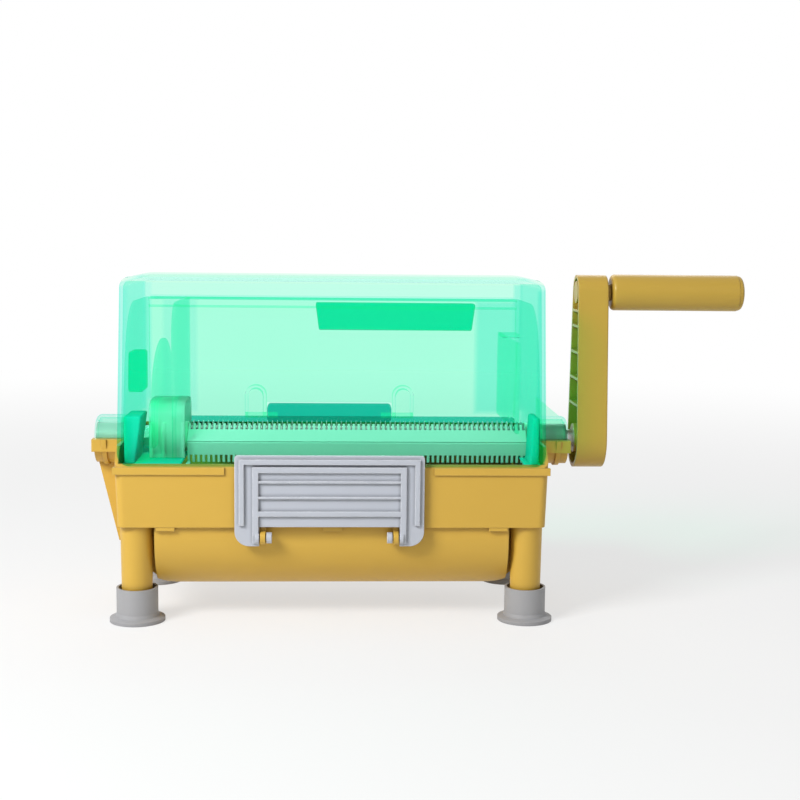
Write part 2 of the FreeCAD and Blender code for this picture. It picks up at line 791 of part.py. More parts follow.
def make_hood(name, inset):
    """Box with drafted ends, a leaning front and rounded edges, every face moved in by the inset."""
    body = new_body(name)
    outline = new_sketch(body, name + "_outline", "XZ_Plane", f"case_front - {inset}")
    draw_polygon(outline, [
        (f"-(lid_half_low - {inset})", "lid_low_z"),
        (f"lid_half_low - {inset}", "lid_low_z"),
        (f"lid_half_top - {inset}", f"lid_top_z - {inset}"),
        (f"-(lid_half_top - {inset})", f"lid_top_z - {inset}"),
    ])
    pad(body, outline, f"case_front + case_back - 2 * {inset}", reverse=True)
    lean = new_sketch(body, name + "_lean", "YZ_Plane")
    draw_polygon(lean, [
        (f"-(case_front - {inset})", "lid_low_z"),
        (f"-(case_front - {inset}) + lid_lean", f"lid_top_z - {inset}"),
        (f"-(case_front - {inset})", f"lid_top_z - {inset}"),
    ])
    cut(body, lean, "2 * case_half_top", both=True)
    round_edges(body, name + "_side_edges", f"lid_edge_round - {inset}", lambda edge: along(edge, "z"))
    top = f"lid_top_z - {inset}"
    round_edges(body, name + "_top_edges", f"lid_top_round - {inset}",
                lambda edge: near(edge.BoundBox.ZMin, top, EXACT_SLACK)
                and near(edge.BoundBox.ZMax, top, EXACT_SLACK))
    return body


def make_lid():
    """Clear cover: a box with a leaning front, bearing domes and two hinge lugs."""
    room = make_hood("tool_lid_room", "wall")
    body = make_hood("lid_cover", "0")
    doc.recompute()
    shell = body.newObject("PartDesign::Boolean", "lid_shell")
    shell.Type = "Cut"
    shell.Group = [room]
    doc.recompute()
    edge_cut = new_sketch(body, "lid_lower_edge", "YZ_Plane")
    draw_polygon(edge_cut, [
        ("-case_front - wall", "lid_low_z - wall"),
        ("case_back + wall", "lid_low_z - wall"),
        ("case_back + wall", "shaft_z + lid_gap"),
        ("slope_run - case_front", "shaft_z + lid_gap"),
        ("-case_front", "lid_low_z"),
        ("-case_front - wall", "lid_low_z"),
    ])
    cut(body, edge_cut, "2 * case_half_top", both=True)
    for side_name, side in SIDES.items():
        outward = side < 0
        dome = new_sketch(body, f"dome_{side_name}", "YZ_Plane", signed(side, "lid_half_top - wall"))
        draw_half_disc(dome, ("0", "shaft_z + lid_gap"), "dome_r", upper=True)
        pad(body, dome, "dome_half - lid_half_top + wall", reverse=outward)
        round_edges(body, f"dome_edge_{side_name}", "dome_edge_round",
                    lambda edge, end=signed(side, "dome_half"): near(edge.BoundBox.XMin, end, EXACT_SLACK)
                    and near(edge.BoundBox.XMax, end, EXACT_SLACK)
                    and edge.BoundBox.ZMax > value("shaft_z + lid_gap + dome_r / 2"))
        room = new_sketch(body, f"dome_room_{side_name}", "YZ_Plane", signed(side, "lid_half_top - 2 * wall"))
        draw_half_disc(room, ("0", "shaft_z + lid_gap"), "dome_r - dome_wall", upper=True)
        cut(body, room, "dome_half - lid_half_top + wall", reverse=side > 0)
        hole = new_sketch(body, f"dome_hole_{side_name}", "YZ_Plane", signed(side, "dome_half - 2 * wall"))
        draw_half_disc(hole, ("0", "shaft_z + lid_gap"), "dome_end_hole", upper=True)
        cut(body, hole, "3 * wall", reverse=side > 0)
        add_lug(body, side_name, side)
    web = new_sketch(body, "dome_web", "XZ_Plane")
    draw_polygon(web, [
        ("lid_half_low - wall / 2", "shaft_z + dome_r - dome_wall / 2"),
        ("dome_half - wall", "shaft_z + dome_r - dome_wall / 2"),
        ("lid_half_low - wall / 2", "shaft_z + dome_r + web_high"),
    ])
    pad(body, web, "web_thick", both=True)
    notch = new_sketch(body, "lid_notch", "XZ_Plane", "-(case_back + wall)")
    draw_polygon(notch, rectangle(
        ("hinge_x - lug_inner + lid_gap", "shaft_z"),
        ("hinge_x + lug_inner - lid_gap", "lid_notch_z"),
    ))
    cut(body, notch, "3 * wall", reverse=True)
    return body


def draw_tombstone(sketch, side, low_z, inset):
    """Draw an upright outline with a round top."""
    inner = f"hinge_x + {signed(side, 'lug_inner')}"
    outer = f"hinge_x + {signed(side, 'lug_outer')}"
    left, right = (inner, outer) if side > 0 else (outer, inner)
    radius = f"(lug_outer - lug_inner) / 2 - {inset}"
    middle = f"hinge_x + {signed(side, '(lug_inner + lug_outer) / 2')}"
    spring_z = "lug_top_z - (lug_outer - lug_inner) / 2"
    x, z, r = value(middle), value(spring_z), value(radius)
    low_left = Vector(x - r, value(low_z), 0)
    low_right = Vector(x + r, value(low_z), 0)
    circle = Part.Circle(Vector(x, z, 0), Vector(0, 0, 1), r)
    arc = sketch.addGeometry(Part.ArcOfCircle(circle, 0, math.pi), False)
    down = sketch.addGeometry(Part.LineSegment(Vector(x - r, z, 0), low_left), False)
    base = sketch.addGeometry(Part.LineSegment(low_left, low_right), False)
    rise = sketch.addGeometry(Part.LineSegment(low_right, Vector(x + r, z, 0)), False)
    sketch.addConstraint(Sketcher.Constraint("Tangent", arc, 2, down, 1))
    sketch.addConstraint(Sketcher.Constraint("Coincident", down, 2, base, 1))
    sketch.addConstraint(Sketcher.Constraint("Coincident", base, 2, rise, 1))
    sketch.addConstraint(Sketcher.Constraint("Tangent", rise, 2, arc, 1))
    hold(sketch, "DistanceX", arc, 3, middle)
    hold(sketch, "DistanceY", arc, 3, spring_z)
    hold(sketch, "DistanceX", base, 1, f"{left} + {inset}")
    hold(sketch, "DistanceY", base, 1, low_z)
    hold(sketch, "DistanceX", base, 2, f"{right} - {inset}")
    hold(sketch, "DistanceY", base, 2, low_z)


def add_lug(body, side_name, side):
    """Hinge lug with a round top, hollow from the inside of the lid, and its bore."""
    low_z = "shaft_z + lug_low_gap"
    lug = new_sketch(body, f"lug_{side_name}", "XZ_Plane", "-lug_back")
    draw_tombstone(lug, side, low_z, "0")
    pad(body, lug, "lug_back - case_back + wall / 2")
    hollow = new_sketch(body, f"lug_hollow_{side_name}", "XZ_Plane", "-(lug_back - lug_wall)")
    draw_tombstone(hollow, side, f"{low_z} + lug_wall", "lug_wall")
    cut(body, hollow, "lug_back - lug_wall - case_back + 2 * wall", reverse=True)
    bore = new_sketch(body, f"lug_bore_{side_name}", "YZ_Plane", f"hinge_x + {signed(side, 'lug_inner')}")
    draw_circle(bore, ("hinge_y", "hinge_z"), "hinge_pin + hinge_bore_gap")
    cut(body, bore, "lug_outer - lug_inner", reverse=side > 0)


def add_box(body, name, x_range, y_range, z_range):
    """Add a straight block to the body."""
    block = new_sketch(body, name, "XY_Plane", z_range[0])
    draw_polygon(block, rectangle((x_range[0], y_range[0]), (x_range[1], y_range[1])))
    return pad(body, block, f"({z_range[1]}) - ({z_range[0]})")


def add_hinge_block(body, rear):
    """Block behind the guard that reaches over the case's rear wall and carries the hinge pins."""
    add_box(body, "hinge_block", ("hinge_x - hinge_block_half", "hinge_x + hinge_block_half"),
            (f"{rear} - guard_wall", "hinge_block_back"), ("hinge_block_low_z", "hinge_block_top_z"))
    round_edges(body, "hinge_block_edges", "hinge_block_round",
                lambda edge: along(edge, "x") and near(edge.CenterOfMass.z, "hinge_block_top_z", EXACT_SLACK)
                and near(edge.CenterOfMass.y, "hinge_block_back", EXACT_SLACK))
    for side_name, side in SIDES.items():
        hole = new_sketch(body, f"hinge_hole_{side_name}", "YZ_Plane",
                          f"hinge_x + {signed(side, 'hinge_block_half')}")
        draw_circle(hole, ("hinge_y", "hinge_z"), "hinge_pin")
        cut(body, hole, "hinge_pin_grip", reverse=side < 0)


def make_guard():
    """Inner hopper guard: back wall, two curved cheeks, partition, plates and the hinge block."""
    body = new_body("hopper_guard")
    rear = "case_back - wall - guard_rear_gap"
    half = "lid_half_top - wall - guard_gap"
    back = new_sketch(body, "guard_back", "XZ_Plane", f"-({rear})")
    draw_polygon(back, rectangle(
        (f"-({half})", "rail_rear_z + comb_thick"),
        (half, "guard_top_z"),
    ))
    pad(body, back, "guard_wall")
    cheek = [
        ("-guard_low_y", "shelf_z"),
        (rear, "shelf_z"),
        (rear, "guard_top_z"),
        ("guard_knee_y", "guard_knee_z"),
    ]
    for name, start in (("cheek_left", f"-({half})"), ("cheek_right", f"{half} - guard_wall")):
        side_wall = new_sketch(body, name, "YZ_Plane", start)
        draw_polygon(side_wall, cheek)
        pad(body, side_wall, "guard_wall")
    round_edges(body, "guard_curves", "guard_round",
                lambda edge: along(edge, "x") and near(edge.CenterOfMass.y, "guard_knee_y"))
    round_edges(body, "guard_corners", "guard_corner",
                lambda edge: along(edge, "z") and near(edge.CenterOfMass.y, rear, EXACT_SLACK)
                and near(abs(edge.CenterOfMass.x), half, EXACT_SLACK))
    add_box(body, "guard_rim", (f"-({half}) + guard_corner", f"{half} - guard_corner"),
            (f"{rear} - guard_rim_deep", rear), ("guard_top_z - guard_rim_high", "guard_top_z"))
    add_box(body, "guard_foot", ("-partition_x", "guard_foot_right"),
            (f"{rear} - guard_foot_deep", rear), ("rail_rear_z + comb_thick", "guard_foot_top_z"))
    for name, plate_x, front_y, low_z, top_z, corner in (
        ("partition", "-partition_x", "partition_front_y", "partition_low_z", "guard_top_z",
         "partition_round"),
        ("plate_left", "-plate_left_x", "plate_left_front_y", "plate_low_z", "plate_left_z",
         "plate_round"),
        ("plate_right", "plate_right_x", "plate_right_front_y", "plate_right_low_z", "plate_right_z",
         "plate_right_round"),
    ):
        plate = new_sketch(body, name, "YZ_Plane", plate_x)
        draw_polygon(plate, rectangle((f"-{front_y}", low_z), (rear, top_z)))
        pad(body, plate, "guard_wall", both=True)
        round_edges(body, name + "_arch", corner,
                    lambda edge, top=top_z, front=front_y: along(edge, "x")
                    and near(edge.CenterOfMass.z, top, EXACT_SLACK)
                    and near(edge.CenterOfMass.y, f"-{front}", EXACT_SLACK))
    add_box(body, "plate_shelf", ("plate_right_x", f"{half} - guard_wall / 2"),
            ("0", rear), ("plate_right_z - plate_shelf_thick", "plate_right_z"))
    add_box(body, "side_box", (f"-({half}) + guard_wall / 2", "-side_box_x"),
            ("-side_box_front_y", "side_box_back_y"), ("side_box_low_z", "side_box_top_z"))
    add_box(body, "side_pad", (f"-({half}) + guard_wall / 2", "-side_box_x"),
            ("-side_pad_front_y", "-side_pad_back_y"), ("side_pad_low_z", "side_pad_top_z"))
    slot = new_sketch(body, "shaft_slot", "YZ_Plane")
    draw_polygon(slot, rectangle(
        ("-guard_shaft_slot", "shelf_z - wall"),
        ("guard_shaft_slot", "shaft_z"),
    ))
    cut(body, slot, "2 * case_half_top", both=True)
    eye = new_sketch(body, "shaft_eye", "YZ_Plane")
    draw_circle(eye, ("0", "shaft_z"), "guard_shaft_slot")
    cut(body, eye, "2 * case_half_top", both=True)
    ledge = new_sketch(body, "guard_ledge", "XZ_Plane", f"-({rear} - guard_wall)")
    draw_polygon(ledge, [
        ("-ledge_left + ledge_slant", "ledge_low_z"),
        ("ledge_right - ledge_slant", "ledge_low_z"),
        ("ledge_right", "ledge_high_z"),
        ("-ledge_left", "ledge_high_z"),
    ])
    pad(body, ledge, "ledge_deep")
    add_hinge_block(body, rear)
    return body


def make_bushes():
    """Flanged bearing bushes in the end cradles."""
    for side_name, side in SIDES.items():
        inner = "case_half_top - wall"
        turned(f"bearing_bush_{side_name}", [
            (signed(side, f"{inner} - bush_flange_thick"), "journal_r + journal_gap"),
            (signed(side, "cradle_half"), "journal_r + journal_gap"),
            (signed(side, "cradle_half"), "bush_r"),
            (signed(side, inner), "bush_r"),
            (signed(side, inner), "bush_flange_r"),
            (signed(side, f"{inner} - bush_flange_thick"), "bush_flange_r"),
        ], z="shaft_z")


def draw_hexagon(sketch, corner_radius):
    """Draw a hexagon about the sketch origin with corners to the front and rear."""
    points = []
    for step in range(HEXAGON_SIDES):
        turn = f"(360 deg * {step} / {HEXAGON_SIDES})"
        points.append((f"({corner_radius}) * cos{turn}", f"({corner_radius}) * sin{turn}"))
    draw_polygon(sketch, points)


def make_blade_bar():
    """Hexagonal bar with round journals and a square-cut drive end."""
    body = new_body("blade_bar", z="shaft_z")
    bar = new_sketch(body, "bar_section", "YZ_Plane", "-bar_left")
    draw_hexagon(bar, "bar_corner_r")
    pad(body, bar, "bar_left + bar_right")
    for name, start, length, reverse in (
        ("left", "-bar_left", "cradle_half - bar_left", True),
        ("right", "bar_right", "arm_inner_x - bar_right", False),
    ):
        journal = new_sketch(body, f"journal_{name}", "YZ_Plane", start)
        draw_circle(journal, ("0", "0"), "journal_r")
        pad(body, journal, length, reverse=reverse)
    drive = new_sketch(body, "drive_end", "YZ_Plane", "arm_inner_x")
    draw_hexagon(drive, "drive_r")
    pad(body, drive, "drive_depth")
    thread = new_sketch(body, "screw_hole", "YZ_Plane", "arm_inner_x + drive_depth")
    draw_circle(thread, ("0", "0"), "crank_screw_r + screw_fit")
    cut(body, thread, "crank_screw_deep")
    return body


def make_discs():
    """Row of thin cutting discs threaded on the hexagonal bar."""
    body = new_body("cutting_discs", z="shaft_z")
    body.AllowCompound = True
    disc = new_sketch(body, "disc_outline", "YZ_Plane", "-disc_first")
    rim = []
    for step in range(SIZES["disc_sides"]):
        turn = f"(360 deg * {step} / disc_sides)"
        rim.append((f"disc_r * cos{turn}", f"disc_r * sin{turn}"))
    draw_polygon(disc, rim)
    draw_hexagon(disc, "bar_corner_r + disc_fit")
    first = pad(body, disc, "disc_thick")
    repeat_along_x(body, "disc_row", first, "disc_pitch * (disc_count - 1)", "disc_count")
    return body


def make_collars():
    """Flanged spool left of the disc row and the plain collar right of it."""
    gap = "(disc_pitch - disc_thick)"
    left = new_body("end_collar_left", z="shaft_z")
    hub = new_sketch(left, "spool_hub", "YZ_Plane", "-spool_outer_x")
    draw_circle(hub, ("0", "0"), "collar_r")
    draw_hexagon(hub, "bar_corner_r + disc_fit")
    pad(left, hub, f"spool_outer_x - disc_first - {gap}")
    for name, start, reverse in (("outer", "-spool_outer_x", False), ("inner", "-spool_inner_x", True)):
        flange = new_sketch(left, f"spool_flange_{name}", "YZ_Plane", start)
        draw_circle(flange, ("0", "0"), "spool_r")
        draw_hexagon(flange, "bar_corner_r + disc_fit")
        pad(left, flange, "spool_flange_thick", reverse=reverse)
    right = new_body("end_collar_right", z="shaft_z")
    ring = new_sketch(right, "collar_ring", "YZ_Plane",
                      f"disc_pitch * (disc_count - 1) - disc_first + disc_thick + {gap} / 2")
    draw_circle(ring, ("0", "0"), "collar_r")
    draw_hexagon(ring, "bar_corner_r + disc_fit")
    pad(right, ring, "collar_thick / 2")


def add_screw_holes(sketch, name):
    """Draw the screw holes of a comb."""
    for step in range(SIZES["comb_screw_count"]):
        draw_circle(sketch, (f"comb_screw_step * {step} - comb_screw_left", comb_screw_y(name)),
                    "screw_r + screw_hole_gap")


def add_comb_slots(body, name, points, plane):
    """Cut the row of slots in which the discs run, from the outline of the first one."""
    middle = "disc_thick / 2 - disc_first"
    if plane == "XY_Plane":
        slot = new_sketch(body, f"comb_slot_{name}", plane)
        draw_polygon(slot, points)
        first = cut(body, slot, "comb_thick", reverse=True)
    else:
        slot = new_sketch(body, f"comb_slot_{name}", plane, f"{middle} + comb_slot / 2")
        draw_polygon(slot, points)
        first = cut(body, slot, "comb_slot")
    repeat_along_x(body, f"comb_slots_{name}", first, "disc_pitch * (disc_count - 1)", "disc_count")


def make_front_comb():
    """Bar bent to a nose in front of the roller, with fingers up and down, on its screwed foot."""
    body = new_body("comb_front", z="shaft_z")
    bar = new_sketch(body, "comb_bar", "YZ_Plane", "-comb_left")
    draw_polygon(bar, [
        ("vee_nose_y", "vee_nose_up - vee_groove"),
        ("vee_nose_y + vee_groove", "vee_nose_up"),
        ("vee_nose_y", "vee_nose_up + vee_groove"),
        ("vee_tip_y", "vee_tip_up"),
        ("vee_finger_y", "vee_finger_up"),
        ("vee_heel_y", "vee_heel_up"),
        ("vee_inner_nose_y", "vee_inner_nose_up"),
        ("vee_inner_low_y", "vee_inner_low_up"),
        ("vee_low_y", "vee_low_up"),
    ])
    pad(body, bar, "comb_left + comb_right")
    low, inner_low = "rail_front_z - shaft_z", "-(case_front - wall - comb_wall_gap)"
    add_box(body, "comb_foot", ("-comb_left", "comb_right"), (inner_low, "-comb_foot_back"),
            (low, f"{low} + comb_thick"))
    for name, start in (("left", "-comb_left"), ("right", "comb_right - comb_rib_thick")):
        add_box(body, f"comb_rib_{name}", (start, f"{start} + comb_rib_thick"),
                ("-comb_foot_back - comb_rib_thick", "vee_inner_low_y"), (low, f"{low} + comb_thick"))
    holes = new_sketch(body, "comb_holes_front", "XY_Plane", low)
    add_screw_holes(holes, "front")
    cut(body, holes, "comb_thick", reverse=True)
    step_y, step_up = "(vee_heel_y - vee_root_y)", "(vee_heel_up - vee_root_up)"
    add_comb_slots(body, "upper", [
        (f"vee_root_y - {step_y}", f"vee_root_up - {step_up}"),
        (f"vee_root_y + 3 * {step_y}", f"vee_root_up + 3 * {step_up}"),
        ("0", f"vee_root_up + 3 * {step_up}"),
        ("0", "vee_tip_up + comb_thick"),
        (f"vee_root_y - {step_y}", "vee_tip_up + comb_thick"),
    ], "YZ_Plane")
    add_comb_slots(body, "lower", rectangle(
        ("vee_nose_y - comb_thick", "vee_low_up - comb_thick"),
        ("0", "vee_low_root_up"),
    ), "YZ_Plane")


def make_rear_comb():
    """Comb plate behind the roller whose fingers pass between the discs."""
    body = new_body("comb_rear", z="rail_rear_z")
    plate = new_sketch(body, "comb_plate_rear", "XY_Plane")
    draw_polygon(plate, rectangle(
        ("-comb_left", "comb_rear_tip"),
        ("comb_right", "case_back - wall - guard_rear_gap"),
    ))
    add_screw_holes(plate, "rear")
    pad(body, plate, "comb_thick")
    middle = "disc_thick / 2 - disc_first"
    add_comb_slots(body, "rear", rectangle(
        (f"{middle} - comb_slot / 2", "comb_rear_tip"),
        (f"{middle} + comb_slot / 2", "comb_rear_root"),
    ), "XY_Plane")


def make_comb_screws():
    """Pan-head screws that hold the combs on their rails."""
    body = new_body("comb_screws")
    body.AllowCompound = True
    for name, seat_z in (("front", "rail_front_z"), ("rear", "rail_rear_z")):
        centre = ("-comb_screw_left", comb_screw_y(name))
        shank = new_sketch(body, f"shank_{name}", "XY_Plane", f"{seat_z} - screw_deep")
        draw_circle(shank, centre, "screw_r")
        shank_pad = pad(body, shank, "screw_deep + comb_thick + screw_head_high / 2")
        head = new_sketch(body, f"head_{name}", "XY_Plane", f"{seat_z} + comb_thick")
        draw_circle(head, centre, "screw_head_r")
        head_pad = pad(body, head, "screw_head_high")
        pattern = repeat_along_x(body, f"comb_screws_{name}", shank_pad,
                                 "comb_screw_step * (comb_screw_count - 1)", "comb_screw_count")
        pattern.Originals = [shank_pad, head_pad]
        doc.recompute()
    return body


def make_hinge_pins():
    """Two short pins about which the lid swings."""
    body = new_body("hinge_pins", x="hinge_x", y="hinge_y", z="hinge_z")
    body.AllowCompound = True
    for side_name, side in SIDES.items():
        pin = new_sketch(body, f"hinge_pin_{side_name}", "YZ_Plane",
                         signed(side, "hinge_block_half - hinge_pin_grip"))
        draw_circle(pin, ("0", "0"), "hinge_pin")
        pad(body, pin, "lug_outer - hinge_block_half + hinge_pin_grip", reverse=side < 0)
    return body


def make_crank_arm():
    """Deep arm, hollow towards the case, stiffened by rungs."""
    body = new_body("crank_arm", x="arm_inner_x", z="shaft_z")
    outline = new_sketch(body, "arm_outline", "YZ_Plane")
    draw_arm_outline(outline, "arm_hub_r", "crank_throw", "arm_top_r")
    pad(body, outline, "arm_thick")
    round_edges(body, "arm_outer_edge", "arm_edge",
                lambda edge: near(edge.BoundBox.XMin, "arm_thick", EXACT_SLACK))
    hollow = new_sketch(body, "arm_hollow", "YZ_Plane")
    draw_arm_outline(hollow, "arm_hub_r - arm_wall", "crank_throw", "arm_top_r - arm_wall")
    cut(body, hollow, "arm_thick - arm_face", reverse=True)
    socket = new_sketch(body, "arm_socket", "YZ_Plane")
    draw_circle(socket, ("0", "0"), "arm_socket_r")
    pad(body, socket, "arm_thick - arm_face / 2")
    boss = new_sketch(body, "arm_boss", "YZ_Plane")
    draw_circle(boss, ("0", "crank_throw"), "arm_boss_r")
    pad(body, boss, "arm_thick - arm_face / 2")
    heights = [f"(rung_first_z - rung_step * {step})" for step in range(SIZES["rung_count"])]
    for index, height in enumerate(["rung_upper_z"] + heights, start=1):
        width = f"arm_hub_r - arm_wall / 2 - (arm_hub_r - arm_top_r) * {height} / crank_throw"
        rung = new_sketch(body, f"rung_{index}", "YZ_Plane")
        draw_polygon(rung, rectangle(
            (f"-({width})", f"{height} - rung_thick / 2"),
            (width, f"{height} + rung_thick / 2"),
        ))
        pad(body, rung, "arm_thick - arm_face / 2")
    drive = new_sketch(body, "arm_drive_hole", "YZ_Plane")
    draw_hexagon(drive, "drive_r + disc_fit")
    cut(body, drive, "drive_depth", reverse=True)
    screw = new_sketch(body, "arm_screw_hole", "YZ_Plane", "arm_thick")
    draw_circle(screw, ("0", "0"), "crank_screw_r + screw_hole_gap")
    cut(body, screw, "arm_thick")
    sink = new_sketch(body, "arm_screw_sink", "YZ_Plane", "arm_thick")
    draw_circle(sink, ("0", "0"), "crank_screw_head_r + screw_hole_gap")
    cut(body, sink, "crank_screw_head_high")
    pin_hole = new_sketch(body, "arm_pin_hole", "YZ_Plane", "arm_thick")
    draw_circle(pin_hole, ("0", "crank_throw"), "pin_r + screw_fit")
    cut(body, pin_hole, "arm_thick")
    return body


def make_crank_screw():
    """Sunk screw that draws the arm onto the drive end."""
    head_base = "arm_thick - crank_screw_head_high"
    screw_end = "drive_depth - crank_screw_reach"
    turned("crank_screw", [
        (screw_end, "0"),
        ("arm_thick", "0"),
        ("arm_thick", "crank_screw_head_r"),
        (head_base, "crank_screw_head_r"),
        (head_base, "crank_screw_r"),
        (screw_end, "crank_screw_r"),
    ], x="arm_inner_x", z="shaft_z")


def make_grip():
    """Pin fixed in the arm, with the turning grip sleeve and its end cap."""
    grip_z = "shaft_z + crank_throw"
    pin_end = "grip_end_x - grip_cap_thick - grip_plug_long - pin_seat_gap"
    arm_outer = "arm_inner_x + arm_thick"
    turned("handle_pin", [
        ("arm_inner_x", "0"),
        (pin_end, "0"),
        (pin_end, "pin_r"),
        ("grip_start_x - pin_seat_gap", "pin_r"),
        ("grip_start_x - pin_seat_gap", "pin_collar_r"),
        (arm_outer, "pin_collar_r"),
        (arm_outer, "pin_r"),
        ("arm_inner_x", "pin_r"),
    ], z=grip_z)
    cap_face = "grip_end_x - grip_cap_thick"
    sleeve = turned("grip_sleeve", [
        ("grip_start_x", "pin_r + pin_gap"),
        (f"{cap_face} - grip_plug_long", "pin_r + pin_gap"),
        (f"{cap_face} - grip_plug_long", "grip_plug_r"),
        (cap_face, "grip_plug_r"),
        (cap_face, "grip_r"),
        ("grip_start_x", "grip_r"),
    ], z=grip_z)
    round_edges(sleeve, "grip_ends", "grip_round",
                lambda edge: near(edge.BoundBox.XMin, "grip_start_x", EXACT_SLACK)
                and near(edge.BoundBox.YMax, "grip_r", EXACT_SLACK))
    cap = turned("grip_end_cap", [
        (f"{cap_face} - grip_plug_long", "0"),
        ("grip_end_x", "0"),
        ("grip_end_x", "grip_cap_r"),
        (cap_face, "grip_cap_r"),
        (cap_face, "grip_plug_r - screw_fit"),
        (f"{cap_face} - grip_plug_long", "grip_plug_r - screw_fit"),
    ], z=grip_z)
    round_edges(cap, "cap_edge", "grip_round",
                lambda edge: near(edge.BoundBox.XMin, "grip_end_x", EXACT_SLACK))


def make_latch():
    """Latch panel with raised frames and slats, and its two pivot pins."""
    body = new_body("latch_panel", x="latch_x")
    outline = new_sketch(body, "latch_outline", "XZ_Plane", "latch_face")
    draw_polygon(outline, [
        ("-latch_half", "latch_top_z"),
        ("-latch_half", "latch_tip_z"),
        ("-latch_arm_inner", "latch_tip_z"),
        ("-latch_arm_inner", "latch_panel_z"),
        ("latch_arm_inner", "latch_panel_z"),
        ("latch_arm_inner", "latch_tip_z"),
        ("latch_half", "latch_tip_z"),
        ("latch_half", "latch_top_z"),
    ])
    pad(body, outline, "latch_thick")
    round_edges(body, "latch_top_corners", "latch_corner",
                lambda edge: along(edge, "y") and near(edge.CenterOfMass.z, "latch_top_z"))
    round_edges(body, "latch_tip_corners", "latch_tip_round",
                lambda edge: along(edge, "y") and near(edge.CenterOfMass.z, "latch_tip_z")
                and near(abs(edge.CenterOfMass.x), "latch_half"))
    face = "latch_face + latch_thick"
    bead = new_sketch(body, "latch_bead", "XZ_Plane", face)
    draw_polygon(bead, frame_outline("bead_x", "bead_wide", "bead_low_z", "bead_top_z"))
    pad(body, bead, "bead_high")
    frame = new_sketch(body, "latch_frame", "XZ_Plane", face)
    draw_polygon(frame, frame_outline("frame_x", "frame_wide", "frame_low_z", "frame_top_z"))
    pad(body, frame, "bead_high")
    slats = new_sketch(body, "latch_slats", "XZ_Plane", face)
    for low_z, wide in (
        ("slat_low_z", "slat_wide"),
        ("slat_low_z + slat_step", "slat_wide"),
        ("slat_thick_z", "slat_thick_wide"),
    ):
        draw_polygon(slats, rectangle(("-frame_x", low_z), ("frame_x", f"{low_z} + {wide}")))
    pad(body, slats, "bead_high")
    for side_name, side in SIDES.items():
        knuckle = new_sketch(body, f"knuckle_{side_name}", "YZ_Plane", signed(side, "latch_arm_inner"))
        draw_circle(knuckle, ("-latch_y", "latch_z"), "ear_round")
        pad(body, knuckle, "arm_pad_thick", reverse=side < 0)
    bores = new_sketch(body, "latch_bores", "YZ_Plane")
    draw_circle(bores, ("-latch_y", "latch_z"), "latch_pin + screw_fit")
    cut(body, bores, "2 * (latch_arm_inner + arm_pad_thick)", both=True)
    pins = new_body("latch_pivot_pins", x="latch_x", y="-latch_y", z="latch_z")
    pins.AllowCompound = True
    for side_name, side in SIDES.items():
        pin = new_sketch(pins, f"latch_pin_{side_name}", "YZ_Plane", signed(side, "latch_pin_inner"))
        draw_circle(pin, ("0", "0"), "latch_pin")
        pad(pins, pin, "latch_arm_inner + arm_pad_thick - latch_pin_inner", reverse=side < 0)
        head = new_sketch(pins, f"latch_pin_head_{side_name}", "YZ_Plane", signed(side, "latch_pin_inner"))
        draw_circle(head, ("0", "0"), "latch_pin_head_r")
        pad(pins, head, "latch_pin_head_long", reverse=side < 0)


def frame_outline(inner_x, wide, low_z, top_z):
    """List the corners of a frame that is open at the bottom."""
    return [
        (f"-({inner_x} + {wide})", low_z),
        (f"-{inner_x}", low_z),
        (f"-{inner_x}", top_z),
        (inner_x, top_z),
        (inner_x, low_z),
        (f"{inner_x} + {wide}", low_z),
        (f"{inner_x} + {wide}", f"{top_z} + {wide}"),
        (f"-({inner_x} + {wide})", f"{top_z} + {wide}"),
    ]


def check_document():
    """Stop if any object failed or any sub-part is not a sound solid."""
    doc.recompute()
    for item in doc.Objects:
        if "Invalid" in item.State or "Error" in item.State:
            raise ValueError(f"{item.Label} failed: {item.State}")
    for item in sub_parts():
        if item.Shape.isNull() or not item.Shape.isValid() or not item.Shape.Solids:
            raise ValueError(f"{item.Label} has no sound solid")


def sub_parts():
    """List the sub-parts of the document, without the bodies that only shape others."""
    return [item for item in doc.Objects
            if item.TypeId == "PartDesign::Body" and not item.Label.startswith(TOOL_PREFIX)]


def export_parts():
    """Write each sub-part to a file of its own name."""
    os.makedirs(PARTS_DIR, exist_ok=True)
    for item in sub_parts():
        item.Shape.exportStep(os.path.join(PARTS_DIR, item.Label + ".step"))
        print(item.Label, len(item.Shape.Solids), round(item.Shape.Volume))


make_case()
make_trough()
make_legs_and_feet()
make_lid()
make_guard()
make_bushes()
make_blade_bar()
make_discs()
make_collars()
make_front_comb()
make_rear_comb()
make_comb_screws()
make_hinge_pins()
make_crank_arm()
make_crank_screw()
make_grip()
make_latch()
check_document()
export_parts()
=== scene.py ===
import json
import logging
import math
from dataclasses import dataclass
from enum import Enum

import bmesh
import bpy
from mathutils import Matrix, Vector

